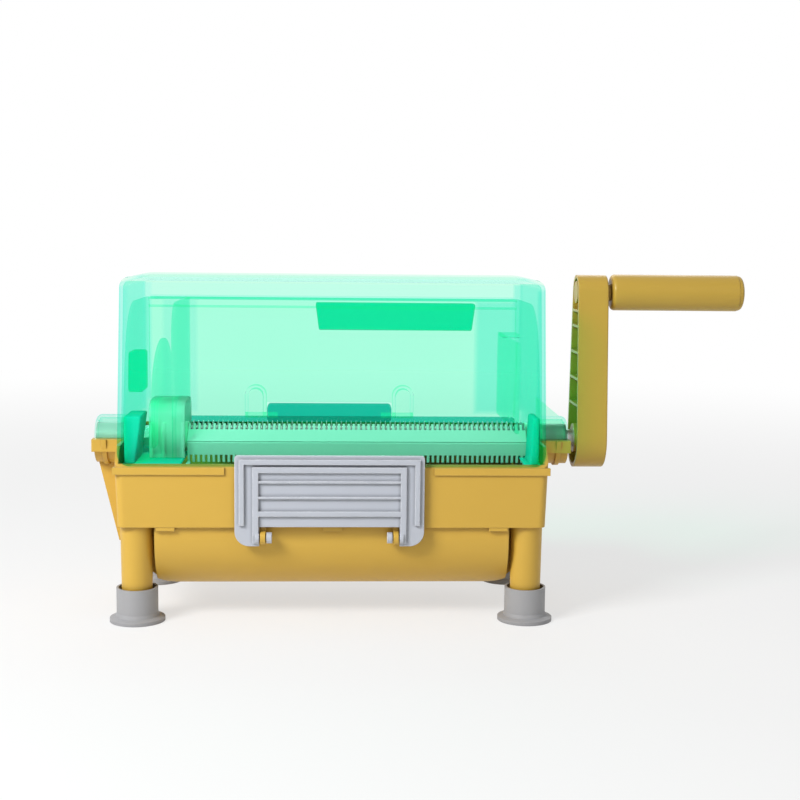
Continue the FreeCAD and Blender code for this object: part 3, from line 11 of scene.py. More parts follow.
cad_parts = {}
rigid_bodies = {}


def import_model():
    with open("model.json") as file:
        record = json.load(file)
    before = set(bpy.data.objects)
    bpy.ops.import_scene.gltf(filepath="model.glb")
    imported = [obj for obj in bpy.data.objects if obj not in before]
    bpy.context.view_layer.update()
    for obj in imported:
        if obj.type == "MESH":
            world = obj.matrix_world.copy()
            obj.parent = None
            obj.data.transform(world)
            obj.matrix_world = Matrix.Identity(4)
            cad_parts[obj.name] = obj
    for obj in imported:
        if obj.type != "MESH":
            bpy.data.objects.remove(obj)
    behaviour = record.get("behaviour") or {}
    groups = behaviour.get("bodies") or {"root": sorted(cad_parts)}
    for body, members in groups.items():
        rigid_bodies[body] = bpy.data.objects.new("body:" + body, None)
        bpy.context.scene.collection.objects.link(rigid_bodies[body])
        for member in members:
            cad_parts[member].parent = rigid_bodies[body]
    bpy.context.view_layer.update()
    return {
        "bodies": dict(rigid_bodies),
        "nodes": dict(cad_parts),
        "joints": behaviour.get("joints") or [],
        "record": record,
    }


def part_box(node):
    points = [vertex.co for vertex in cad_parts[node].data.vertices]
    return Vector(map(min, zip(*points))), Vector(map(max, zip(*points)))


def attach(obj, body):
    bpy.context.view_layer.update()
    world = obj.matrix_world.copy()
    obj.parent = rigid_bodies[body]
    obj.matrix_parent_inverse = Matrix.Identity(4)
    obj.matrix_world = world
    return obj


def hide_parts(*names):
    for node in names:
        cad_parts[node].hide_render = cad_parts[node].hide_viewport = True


log = logging.getLogger("roller_cutter")

Colour = tuple[float, float, float]
Point = tuple[float, float, float]
Pair = tuple[float, float]
Outline = list[Pair] | tuple[Pair, ...]
Tree = bpy.types.ShaderNodeTree
Node = bpy.types.ShaderNode
Socket = bpy.types.NodeSocket
Mesh = bmesh.types.BMesh

MM = 0.001  # metres in a millimetre
BEVEL_SAMPLES = 4
CREVICE_SAMPLES = 6
SCUFF_STRETCH: Point = (60.0, 900.0, 400.0)
SMOOTH_BELOW = math.radians(32)  # edges with a smaller turn are shaded smooth
BORDER_ABOVE = 1.2  # edges of a plate with a larger turn, in radians, are rounded
BORDER_SEGMENTS = 2
MOST_CORNERS = 4  # faces of a plate with more corners are cut into triangles


class Body(Enum):
    """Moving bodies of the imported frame."""

    CASE = "case"
    LID = "lid"
    LATCH = "latch"
    ROLLER = "roller"
    GRIP = "grip"


class Slot(Enum):
    """Material slots of the record."""

    TAN = "tan_plastic"
    GREEN = "clear_green"
    GREY = "grey_plastic"
    RUBBER = "grey_rubber"
    MILKY = "milky_green"
    WHITE = "white_plastic"
    STEEL = "steel"


class Effect(Enum):
    """Shader groups that several finishes share."""

    MOTTLE = "plastic_mottle"
    GRAIN = "moulding_grain"
    # group that paints highlights along edges
    EDGE = "edge_polish"
    SHEEN = "sheen_drift"
    CREVICE = "crevice_shade"
    ZONE = "thick_zone"


# ---------------------------------------------------------------- node helpers


def rgba(colour: Colour) -> tuple[float, float, float, float]:
    """Adds full alpha to a colour."""
    return (*colour, 1.0)


def feed(tree: Tree, value: object, socket: Socket) -> None:
    """Feeds an input.

    Args:
        tree: tree of the input.
        value: a socket to link, or a plain value to set.
        socket: the input.
    """
    if isinstance(value, Socket):
        tree.links.new(value, socket)
    else:
        socket.default_value = value


def start_material(name: str) -> tuple[bpy.types.Material, Tree, Node]:
    """Starts a material.

    Args:
        name: its name.

    Returns:
        The material, its tree and its shader.
    """
    material = bpy.data.materials.new(name)
    material.use_nodes = True
    return material, material.node_tree, material.node_tree.nodes["Principled BSDF"]


def maths(tree: Tree, operation: str, *terms: object, clamp: bool = False) -> Socket:
    """Adds a math node.

    Args:
        tree: tree to add it to.
        operation: Blender's name of the operation.
        terms: numbers or sockets for its inputs.
        clamp: whether its result stays between 0 and 1.

    Returns:
        Its output socket.
    """
    node = tree.nodes.new("ShaderNodeMath")
    node.operation = operation
    node.use_clamp = clamp
    for i, term in enumerate(terms):
        feed(tree, term, node.inputs[i])
    return node.outputs[0]


def mix_colours(tree: Tree, share: Socket, first: object, second: object) -> Socket:
    """Adds a mix of two colours.

    Args:
        tree: tree to add it to.
        share: socket with the share of the second colour.
        first: socket or colour with alpha.
        second: socket or colour with alpha.

    Returns:
        Its output socket.
    """
    node = tree.nodes.new("ShaderNodeMix")
    node.data_type = "RGBA"
    tree.links.new(share, node.inputs["Factor"])
    feed(tree, first, node.inputs["A"])
    feed(tree, second, node.inputs["B"])
    return node.outputs["Result"]


def mix_shaders(
    tree: Tree, share: Socket, first: Socket, second: Socket, surface: Socket
) -> None:
    """Adds a mix of two shaders and puts it on a surface.

    Args:
        tree: tree to add it to.
        share: socket with the share of the second shader.
        first: output of the first shader.
        second: output of the second shader.
        surface: Surface input of the tree's output node.
    """
    node = tree.nodes.new("ShaderNodeMixShader")
    tree.links.new(share, node.inputs["Fac"])
    tree.links.new(first, node.inputs[1])
    tree.links.new(second, node.inputs[2])
    tree.links.new(node.outputs["Shader"], surface)


# ---------------------------------------------------------------- shader groups


class EffectLibrary:
    """Builds each shared shader group once and places copies of it."""

    def __init__(self) -> None:
        """Builds every group of the library."""
        self.groups: dict[Effect, Tree] = {
            Effect.MOTTLE: self._mottle(),
            Effect.GRAIN: self._grain(),
            Effect.EDGE: self._edge(),
            Effect.SHEEN: self._sheen(),
            Effect.CREVICE: self._crevice(),
            Effect.ZONE: self._zone(),
        }

    def place(self, tree: Tree, effect: Effect, **values: object) -> Node:
        """Places a group in a material.

        Args:
            tree: node tree of the material.
            effect: which group to place.
            values: input values, with spaces of the socket names written as underscores.

        Returns:
            The group node.
        """
        node = tree.nodes.new("ShaderNodeGroup")
        node.node_tree = self.groups[effect]
        for name, value in values.items():
            node.inputs[name.replace("_", " ")].default_value = value
        return node

    def relief(
        self, tree: Tree, distance: float, grain: Point, normal: Socket | None = None
    ) -> None:
        """Gives the material's shader a grained surface.

        Args:
            tree: node tree of the material.
            distance: height of the bumps in metres.
            grain: scale of the grain, its depth and the depth of the sink waves.
            normal: socket with a normal to start from.
        """
        scale, depth, waves = grain
        height = self.place(
            tree, Effect.GRAIN, Grain_Scale=scale, Grain_Depth=depth, Wave_Depth=waves
        )
        bump = tree.nodes.new("ShaderNodeBump")
        bump.inputs["Distance"].default_value = distance
        tree.links.new(height.outputs["Height"], bump.inputs["Height"])
        if normal is not None:
            tree.links.new(normal, bump.inputs["Normal"])
        tree.links.new(bump.outputs["Normal"], tree.nodes["Principled BSDF"].inputs["Normal"])

    def sheen(self, tree: Tree, roughness: float, drift: float, scuff: float) -> None:
        """Gives the material's shader its drifting roughness.

        Args:
            tree: node tree of the material.
            roughness: its mean.
            drift: share of the slow clouds.
            scuff: share of the fine scuffs.
        """
        group = self.place(tree, Effect.SHEEN, Roughness=roughness, Drift=drift, Scuff=scuff)
        shader = tree.nodes["Principled BSDF"]
        tree.links.new(group.outputs["Roughness"], shader.inputs["Roughness"])

    def speckle(
        self, tree: Tree, base: Colour, tint: Colour, scales: Pair, amounts: Pair
    ) -> Socket:
        """Places the two pigments of a material.

        Args:
            tree: node tree of the material.
            base: main pigment.
            tint: second pigment.
            scales: scales of the clouds and the flecks.
            amounts: shares of the clouds and the flecks.

        Returns:
            The socket with the colour.
        """
        group = self.place(
            tree, Effect.MOTTLE, Base=rgba(base), Tint=rgba(tint), Cloud_Scale=scales[0],
            Fleck_Scale=scales[1], Amount=amounts[0], Fleck_Amount=amounts[1],
        )
        return group.outputs["Color"]

    @staticmethod
    def _start(
        effect: Effect, inputs: list[tuple[str, str, object]], outputs: list[tuple[str, str]]
    ) -> tuple[Tree, Node, Node]:
        """Makes an empty group with its sockets.

        Args:
            effect: the group to start.
            inputs: name, socket kind and start value of each input.
            outputs: name and socket kind of each output.

        Returns:
            The tree, its input node and its output node.
        """
        tree = bpy.data.node_groups.new(effect.value, "ShaderNodeTree")
        for name, kind, value in inputs:
            socket = tree.interface.new_socket(name, in_out="INPUT", socket_type=kind)
            socket.default_value = value
        for name, kind in outputs:
            tree.interface.new_socket(name, in_out="OUTPUT", socket_type=kind)
        return tree, tree.nodes.new("NodeGroupInput"), tree.nodes.new("NodeGroupOutput")

    @staticmethod
    def _noise(tree: Tree, vector: Socket, detail: float, rough: float) -> Node:
        """Adds a noise texture.

        Args:
            tree: tree to add it to.
            vector: socket with its coordinates.
            detail: number of octaves.
            rough: strength of the finer octaves.

        Returns:
            The noise node.
        """
        node = tree.nodes.new("ShaderNodeTexNoise")
        node.inputs["Detail"].default_value = detail
        node.inputs["Roughness"].default_value = rough
        tree.links.new(vector, node.inputs["Vector"])
        return node

    def _mottle(self) -> Tree:
        """Slow clouds and fine flecks between two pigments."""
        tree, into, out = self._start(
            Effect.MOTTLE,
            [
                ("Base", "NodeSocketColor", (0.5, 0.5, 0.5, 1)),
                ("Tint", "NodeSocketColor", (0.4, 0.4, 0.4, 1)),
                ("Cloud Scale", "NodeSocketFloat", 20.0),
                ("Fleck Scale", "NodeSocketFloat", 1500.0),
                ("Amount", "NodeSocketFloat", 0.5),
                ("Fleck Amount", "NodeSocketFloat", 0.2),
            ],
            [("Color", "NodeSocketColor")],
        )
        place = tree.nodes.new("ShaderNodeTexCoord").outputs["Object"]
        cloud = self._noise(tree, place, detail=3.0, rough=0.55)
        fleck = self._noise(tree, place, detail=1.0, rough=0.5)
        tree.links.new(into.outputs["Cloud Scale"], cloud.inputs["Scale"])
        tree.links.new(into.outputs["Fleck Scale"], fleck.inputs["Scale"])
        slow = maths(tree, "MULTIPLY", cloud.outputs["Fac"], into.outputs["Amount"])
        quick = maths(tree, "MULTIPLY", fleck.outputs["Fac"], into.outputs["Fleck Amount"])
        mask = maths(tree, "ADD", slow, quick, clamp=True)
        mixed = mix_colours(tree, mask, into.outputs["Base"], into.outputs["Tint"])
        tree.links.new(mixed, out.inputs["Color"])
        return tree

    def _grain(self) -> Tree:
        """Height of a spark-eroded mould surface with slow sink waves."""
        tree, into, out = self._start(
            Effect.GRAIN,
            [
                ("Grain Scale", "NodeSocketFloat", 1200.0),
                ("Grain Depth", "NodeSocketFloat", 0.5),
                ("Wave Scale", "NodeSocketFloat", 25.0),
                ("Wave Depth", "NodeSocketFloat", 0.5),
            ],
            [("Height", "NodeSocketFloat")],
        )
        place = tree.nodes.new("ShaderNodeTexCoord").outputs["Object"]
        grain = self._noise(tree, place, detail=2.0, rough=0.6)
        wave = self._noise(tree, place, detail=1.0, rough=0.4)
        tree.links.new(into.outputs["Grain Scale"], grain.inputs["Scale"])
        tree.links.new(into.outputs["Wave Scale"], wave.inputs["Scale"])
        fine = maths(tree, "MULTIPLY", grain.outputs["Fac"], into.outputs["Grain Depth"])
        slow = maths(tree, "MULTIPLY", wave.outputs["Fac"], into.outputs["Wave Depth"])
        tree.links.new(maths(tree, "ADD", fine, slow), out.inputs["Height"])
        return tree

    def _edge(self) -> Tree:
        """Softened edge normal and a mask of the painted highlights along the edges, broken into
        patches by noise.
        """
        tree, into, out = self._start(
            Effect.EDGE,
            [
                ("Width", "NodeSocketFloat", 0.0006),
                ("Gain", "NodeSocketFloat", 4.0),
                ("Break Up", "NodeSocketFloat", 160.0),
            ],
            [("Mask", "NodeSocketFloat"), ("Normal", "NodeSocketVector")],
        )
        bevel = tree.nodes.new("ShaderNodeBevel")
        bevel.samples = BEVEL_SAMPLES
        tree.links.new(into.outputs["Width"], bevel.inputs["Radius"])
        face = tree.nodes.new("ShaderNodeNewGeometry")
        dot = tree.nodes.new("ShaderNodeVectorMath")
        dot.operation = "DOT_PRODUCT"
        tree.links.new(bevel.outputs["Normal"], dot.inputs[0])
        tree.links.new(face.outputs["Normal"], dot.inputs[1])
        turn = maths(tree, "SUBTRACT", 1.0, dot.outputs["Value"])
        strong = maths(tree, "MULTIPLY", turn, into.outputs["Gain"])
        place = tree.nodes.new("ShaderNodeTexCoord").outputs["Object"]
        # noise that breaks the painted edge highlight into patches
        edge_highlight = self._noise(tree, place, detail=2.0, rough=0.6)
        tree.links.new(into.outputs["Break Up"], edge_highlight.inputs["Scale"])
        mask = maths(tree, "MULTIPLY", strong, edge_highlight.outputs["Fac"], clamp=True)
        tree.links.new(mask, out.inputs["Mask"])
        tree.links.new(bevel.outputs["Normal"], out.inputs["Normal"])
        return tree

    def _sheen(self) -> Tree:
        """Roughness that drifts with handling marks and fine scuffs."""
        tree, into, out = self._start(
            Effect.SHEEN,
            [
                ("Roughness", "NodeSocketFloat", 0.4),
                ("Drift", "NodeSocketFloat", 0.1),
                ("Scuff", "NodeSocketFloat", 0.05),
                ("Scale", "NodeSocketFloat", 30.0),
            ],
            [("Roughness", "NodeSocketFloat")],
        )
        place = tree.nodes.new("ShaderNodeTexCoord").outputs["Object"]
        cloud = self._noise(tree, place, detail=2.0, rough=0.5)
        tree.links.new(into.outputs["Scale"], cloud.inputs["Scale"])
        stretch = tree.nodes.new("ShaderNodeMapping")
        stretch.inputs["Scale"].default_value = SCUFF_STRETCH
        tree.links.new(place, stretch.inputs["Vector"])
        scuff = self._noise(tree, stretch.outputs["Vector"], detail=2.0, rough=0.7)
        scuff.inputs["Scale"].default_value = 1.0
        slow = maths(tree, "SUBTRACT", cloud.outputs["Fac"], 0.5)
        slow = maths(tree, "MULTIPLY", slow, into.outputs["Drift"])
        quick = maths(tree, "SUBTRACT", scuff.outputs["Fac"], 0.5)
        quick = maths(tree, "MULTIPLY", quick, into.outputs["Scuff"])
        both = maths(tree, "ADD", slow, quick)
        total = maths(tree, "ADD", both, into.outputs["Roughness"], clamp=True)
        tree.links.new(total, out.inputs["Roughness"])
        return tree

    def _crevice(self) -> Tree:
        """Mask of the inner corners, where painted shade darkens the colour."""
        tree, into, out = self._start(
            Effect.CREVICE,
            [
                ("Reach", "NodeSocketFloat", 0.003),
                ("Strength", "NodeSocketFloat", 1.0),
            ],
            [("Mask", "NodeSocketFloat")],
        )
        open_sky = tree.nodes.new("ShaderNodeAmbientOcclusion")
        open_sky.samples = CREVICE_SAMPLES
        tree.links.new(into.outputs["Reach"], open_sky.inputs["Distance"])
        shut = maths(tree, "SUBTRACT", 1.0, open_sky.outputs["AO"])
        mask = maths(tree, "MULTIPLY", shut, into.outputs["Strength"], clamp=True)
        tree.links.new(mask, out.inputs["Mask"])
        return tree

    def _zone(self) -> Tree:
        """Mask of a soft-edged box, where the plastic takes its own tint for thicker plastic,
        painted shade and painted light.
        """
        tree, into, out = self._start(
            Effect.ZONE,
            [
                ("Low", "NodeSocketVector", (0.0, 0.0, 0.0)),
                ("High", "NodeSocketVector", (0.1, 0.1, 0.1)),
                ("Softness", "NodeSocketFloat", 0.002),
            ],
            [("Mask", "NodeSocketFloat")],
        )
        place = tree.nodes.new("ShaderNodeTexCoord").outputs["Object"]
        sides = []
        for first, second in ((place, into.outputs["Low"]), (into.outputs["High"], place)):
            gap = tree.nodes.new("ShaderNodeVectorMath")
            gap.operation = "SUBTRACT"
            tree.links.new(first, gap.inputs[0])
            tree.links.new(second, gap.inputs[1])
            parts = tree.nodes.new("ShaderNodeSeparateXYZ")
            tree.links.new(gap.outputs["Vector"], parts.inputs["Vector"])
            flat = maths(tree, "MINIMUM", parts.outputs["X"], parts.outputs["Y"])
            sides.append(maths(tree, "MINIMUM", flat, parts.outputs["Z"]))
        depth = maths(tree, "MINIMUM", *sides)
        share = maths(tree, "DIVIDE", depth, into.outputs["Softness"])
        tree.links.new(maths(tree, "ADD", share, 0.5, clamp=True), out.inputs["Mask"])
        return tree


# ---------------------------------------------------------------- finishes


@dataclass(frozen=True)
class MouldedPlastic:
    """Opaque injection-moulded plastic or rubber."""

    name: str
    base: Colour
    tint: Colour
    # colour of the painted highlight along the edges
    edge_highlight: Colour
    roughness: float = 0.42
    drift: float = 0.12
    scuff: float = 0.06
    grain_scale: float = 1600.0
    grain_depth: float = 0.5
    wave_depth: float = 0.9
    bump: float = 0.00003
    edge_width: float = 0.0006
    edge_gain: float = 1.2
    cloud_scale: float = 18.0
    amounts: Pair = (0.6, 0.3)
    shade: Colour = (0.02, 0.02, 0.02)
    shade_reach: float = 0.004
    shade_strength: float = 0.5
    specular: float = 0.5

    def build(self, effects: EffectLibrary) -> bpy.types.Material:
        """Builds the material.

        Args:
            effects: the shared shader groups.

        Returns:
            The finished material.
        """
        material, tree, shader = start_material(self.name)
        scales = (self.cloud_scale, self.grain_scale)
        colour = effects.speckle(tree, self.base, self.tint, scales, self.amounts)
        # paler colour along the edges: a painted highlight
        edge = effects.place(tree, Effect.EDGE, Width=self.edge_width, Gain=self.edge_gain)
        colour = mix_colours(tree, edge.outputs["Mask"], colour, rgba(self.edge_highlight))
        # darker colour in the inner corners: painted shade
        crevice = effects.place(
            tree, Effect.CREVICE, Reach=self.shade_reach, Strength=self.shade_strength
        )
        colour = mix_colours(tree, crevice.outputs["Mask"], colour, rgba(self.shade))
        tree.links.new(colour, shader.inputs["Base Color"])
        effects.sheen(tree, self.roughness, self.drift, self.scuff)
        grain = (self.grain_scale, self.grain_depth, self.wave_depth)
        effects.relief(tree, self.bump, grain, edge.outputs["Normal"])
        shader.inputs["Specular IOR Level"].default_value = self.specular
        return material


@dataclass(frozen=True)
class Zone:
    """Box of plastic with its own tint, in metres of the shared frame; zones stand for thicker
    plastic, for painted shade and for painted light.
    """

    low: Point
    high: Point
    colour: Colour
    softness: float = 0.002

    def lay(self, tree: Tree, effects: EffectLibrary, colour: Socket) -> Socket:
        """Lays the zone's colour over another colour.

        Args:
            tree: node tree of the material.
            effects: the shared shader groups.
            colour: socket with the colour outside the zone.

        Returns:
            The socket with the mixed colour.
        """
        mask = effects.place(
            tree, Effect.ZONE, Low=self.low, High=self.high, Softness=self.softness
        )
        return mix_colours(tree, mask.outputs["Mask"], colour, rgba(self.colour))


@dataclass(frozen=True)
class ClearPlastic:
    """Tinted see-through plastic whose colour deepens with its thickness.

    Shadow rays, diffuse rays and rays that have crossed many walls pass straight through it.
    """

    name: str
    base: Colour
    tint: Colour
    absorb: Colour
    density: float
    shade: Colour
    roughness: float = 0.06
    bump: float = 0.00002
    refraction: float = 1.001
    see_through: float = 0.997
    coat: float = 0.03
    rim: Colour = (0.36, 0.93, 0.78)
    rim_from: float = 0.48
    clear_after: float = 5.5
    zones: tuple[Zone, ...] = ()
    # paler tint laid over the rim's darkening on the lid's top face: painted light
    painted_light_top: Zone | None = None
    cloud_scale: float = 14.0
    fleck_scale: float = 900.0
    amounts: Pair = (0.8, 0.15)
    drift: float = 0.04
    scuff: float = 0.03
    grain: Point = (700.0, 0.2, 0.9)

    def build(self, effects: EffectLibrary) -> bpy.types.Material:
        """Builds the material.

        Args:
            effects: the shared shader groups.

        Returns:
            The finished material.
        """
        material, tree, shader = start_material(self.name)
        output = tree.nodes["Material Output"]
        shader.inputs["Transmission Weight"].default_value = self.see_through
        shader.inputs["IOR"].default_value = self.refraction
        shader.inputs["Coat Weight"].default_value = self.coat
        shader.inputs["Coat Roughness"].default_value = self.roughness
        tree.links.new(self._colour(tree, effects), shader.inputs["Base Color"])
        effects.sheen(tree, self.roughness, self.drift, self.scuff)
        effects.relief(tree, self.bump, self.grain)
        clear = tree.nodes.new("ShaderNodeBsdfTransparent")
        clear.inputs["Color"].default_value = rgba(self.shade)
        path = tree.nodes.new("ShaderNodeLightPath")
        soft = maths(tree, "MAXIMUM", path.outputs["Is Shadow Ray"], path.outputs["Is Diffuse Ray"])
        many = maths(tree, "GREATER_THAN", path.outputs["Transmission Depth"], self.clear_after)
        mix_shaders(
            tree, maths(tree, "MAXIMUM", soft, many), shader.outputs["BSDF"], clear.outputs["BSDF"],
            output.inputs["Surface"],
        )
        volume = tree.nodes.new("ShaderNodeVolumeAbsorption")
        volume.inputs["Color"].default_value = rgba(self.absorb)
        volume.inputs["Density"].default_value = self.density
        tree.links.new(volume.outputs["Volume"], output.inputs["Volume"])
        return material

    def _colour(self, tree: Tree, effects: EffectLibrary) -> Socket:
        """Mixes the pigments, the zones of thicker plastic and painted shade, the steep rim and the
        painted light on the lid's top face.

        Args:
            tree: node tree of the material.
            effects: the shared shader groups.

        Returns:
            The socket with the colour.
        """
        scales = (self.cloud_scale, self.fleck_scale)
        colour = effects.speckle(tree, self.base, self.tint, scales, self.amounts)
        for zone in self.zones:
            colour = zone.lay(tree, effects, colour)
        facing = tree.nodes.new("ShaderNodeLayerWeight")
        spread = tree.nodes.new("ShaderNodeMapRange")
        spread.inputs["From Min"].default_value = self.rim_from
        tree.links.new(facing.outputs["Facing"], spread.inputs["Value"])
        colour = mix_colours(tree, spread.outputs["Result"], colour, rgba(self.rim))
        return self.painted_light_top.lay(tree, effects, colour) if self.painted_light_top else colour


@dataclass(frozen=True)
class BrushedSteel:
    """Turned or rolled steel with fine tool marks round the X axis."""

    name: str
    base: Colour
    tint: Colour
    roughness: float = 0.28
    drift: float = 0.12
    scuff: float = 0.14
    scales: Pair = (60.0, 2500.0)
    amounts: Pair = (0.7, 0.3)
    grain: Point = (2500.0, 0.8, 0.4)
    bump: float = 0.00001

    def build(self, effects: EffectLibrary) -> bpy.types.Material:
        """Builds the material.

        Args:
            effects: the shared shader groups.

        Returns:
            The finished material.
        """
        material, tree, shader = start_material(self.name)
        shader.inputs["Metallic"].default_value = 1.0
        colour = effects.speckle(tree, self.base, self.tint, self.scales, self.amounts)
        tree.links.new(colour, shader.inputs["Base Color"])
        effects.sheen(tree, self.roughness, self.drift, self.scuff)
        effects.relief(tree, self.bump, self.grain)
        return material


Finish = MouldedPlastic | ClearPlastic | BrushedSteel

TAN = MouldedPlastic(
    "tan_plastic", base=(0.65, 0.405, 0.062), tint=(0.61, 0.375, 0.052), edge_highlight=(0.85, 0.66, 0.28),
    roughness=0.42, shade=(0.22, 0.10, 0.012), specular=0.4,
)
TAN_SMOOTH = MouldedPlastic(
    "tan_plastic_smooth", base=(0.55, 0.355, 0.052), tint=(0.51, 0.325, 0.042),
    edge_highlight=(0.80, 0.62, 0.30), roughness=0.34, shade=(0.17, 0.09, 0.012), specular=0.4,
)
CLEAR_GREEN = ClearPlastic(
    "clear_green", base=(0.757, 1.0, 0.915), tint=(0.724, 1.0, 0.890), absorb=(0.042, 0.983, 0.90),
    density=4.0, shade=(0.75, 1.0, 0.92),
    # tints of thicker plastic at the rim and the lower front pads; each right-hand zone is deeper
    # than its left-hand twin: painted shade on the side away from the key lamp
    zones=(
        Zone((-0.1310, 0.0640, 0.1962), (0.1310, 0.0720, 0.1990), (0.38, 0.94, 0.80), 0.001),
        Zone((-0.1180, 0.0000, 0.1180), (-0.0950, 0.0720, 0.1960), (0.64, 0.97, 0.88), 0.003),
        Zone((0.1000, -0.0420, 0.1180), (0.1275, 0.0720, 0.1960), (0.48, 0.95, 0.84), 0.004),
        Zone((-0.1400, -0.0900, 0.1270), (-0.1262, 0.0900, 0.2080), (0.64, 0.985, 0.90), 0.002),
        Zone((0.1262, -0.0900, 0.1270), (0.1400, 0.0900, 0.2080), (0.46, 0.945, 0.83), 0.002),
        Zone((-0.1400, -0.0900, 0.0800), (-0.1230, -0.0400, 0.1290), (0.30, 0.96, 0.80), 0.003),
        Zone((0.1230, -0.0900, 0.0800), (0.1400, -0.0400, 0.1290), (0.30, 0.95, 0.77), 0.003),
        Zone((-0.1400, -0.0900, 0.1200), (-0.1305, 0.0900, 0.2085), (0.36, 0.95, 0.86), 0.001),
        Zone((0.1305, -0.0900, 0.1200), (0.1400, 0.0900, 0.2085), (0.22, 0.88, 0.70), 0.001),
        Zone((0.1340, -0.0300, 0.0900), (0.1600, 0.0300, 0.1500), (0.60, 1.0, 0.82)),
        Zone((-0.1600, -0.0300, 0.0900), (-0.1340, 0.0300, 0.1500), (0.70, 0.98, 0.88)),
    ),
    # paler tint over the lid's top face: painted light
    painted_light_top=Zone((-0.1400, -0.0560, 0.2115), (0.1400, 0.0900, 0.2160), (0.815, 1.0, 0.885), 0.0008),
)
THICK_ABSORB: Colour = (0.5, 0.983, 0.95)
THICK_SHADE: Colour = (0.3, 1.0, 0.8)
THICK_DENSITY = 20.0
THICK_RIM_FROM = 0.86
HAZY_RIM_FROM = 0.80
LEDGE_GREEN = ClearPlastic(
    "clear_green_ledge", base=(0.006, 0.80, 0.52), tint=(0.005, 0.78, 0.50), absorb=THICK_ABSORB,
    density=THICK_DENSITY, shade=THICK_SHADE, rim=(0.004, 0.66, 0.44), rim_from=THICK_RIM_FROM,
)
BLOCK_GREEN = ClearPlastic(
    "clear_green_block", base=(0.012, 0.56, 0.47), tint=(0.010, 0.53, 0.44), absorb=THICK_ABSORB,
    density=THICK_DENSITY, shade=THICK_SHADE, rim=(0.01, 0.50, 0.42), rim_from=THICK_RIM_FROM,
)
FOOT_GREEN = ClearPlastic(
    "clear_green_foot", base=(0.06, 0.62, 0.50), tint=(0.05, 0.58, 0.47), absorb=THICK_ABSORB,
    density=THICK_DENSITY, shade=(0.4, 1.0, 0.85), rim=(0.04, 0.52, 0.43), rim_from=THICK_RIM_FROM,
)
HAZY_GREEN = ClearPlastic(
    "hazy_green", base=(0.80, 0.95, 0.90), tint=(0.74, 0.92, 0.86), absorb=(0.7, 0.98, 0.95),
    density=THICK_DENSITY, shade=(0.85, 1.0, 0.96), roughness=0.35, see_through=0.60,
    rim=(0.62, 0.90, 0.80), rim_from=HAZY_RIM_FROM,
)
SIDE_GREEN = ClearPlastic(
    "clear_green_boss", base=(0.012, 0.90, 0.60), tint=(0.010, 0.87, 0.57), absorb=THICK_ABSORB,
    density=THICK_DENSITY, shade=THICK_SHADE, rim=(0.01, 0.78, 0.50), rim_from=THICK_RIM_FROM,
)
PAD_GREEN = ClearPlastic(
    "hazy_green_pad", base=(0.012, 0.77, 0.62), tint=(0.010, 0.74, 0.59), absorb=THICK_ABSORB,
    density=THICK_DENSITY, shade=THICK_SHADE, roughness=0.35, see_through=0.25,
    rim=(0.01, 0.68, 0.54), rim_from=HAZY_RIM_FROM,
)
MILKY = MouldedPlastic(
    "milky_green", base=(0.47, 0.82, 0.69), tint=(0.43, 0.78, 0.65), edge_highlight=(0.60, 0.92, 0.82),
    roughness=0.38, shade=(0.05, 0.42, 0.30),
)
# paler copy of the milky green for the collars: painted light that lifts them out of the shade
# under the lid, with weaker painted shade in their corners
COLLAR_GREEN_LIT = MouldedPlastic(
    "milky_green_collar_lit", base=(0.50, 0.97, 0.74), tint=(0.45, 0.95, 0.70), edge_highlight=(0.64, 0.98, 0.86),
    roughness=0.34, shade=(0.20, 0.72, 0.46), shade_strength=0.2,
)
GREY = MouldedPlastic(
    "grey_plastic", base=(0.51, 0.535, 0.595), tint=(0.47, 0.495, 0.555), edge_highlight=(0.90, 0.92, 0.97),
    roughness=0.36, edge_width=0.0009, edge_gain=6.0, shade=(0.07, 0.075, 0.09), shade_reach=0.0022,
    shade_strength=0.9,
)
RUBBER = MouldedPlastic(
    "grey_rubber", base=(0.37, 0.37, 0.38), tint=(0.33, 0.33, 0.34), edge_highlight=(0.52, 0.52, 0.53),
    roughness=0.58, grain_scale=2200.0, bump=0.00006, shade=(0.08, 0.08, 0.085),
)
WHITE = MouldedPlastic(
    "white_plastic", base=(0.74, 0.74, 0.72), tint=(0.70, 0.70, 0.67), edge_highlight=(0.85, 0.85, 0.84),
    roughness=0.4, shade=(0.35, 0.35, 0.34),
)
STEEL = BrushedSteel("steel", base=(0.62, 0.62, 0.61), tint=(0.50, 0.50, 0.50))


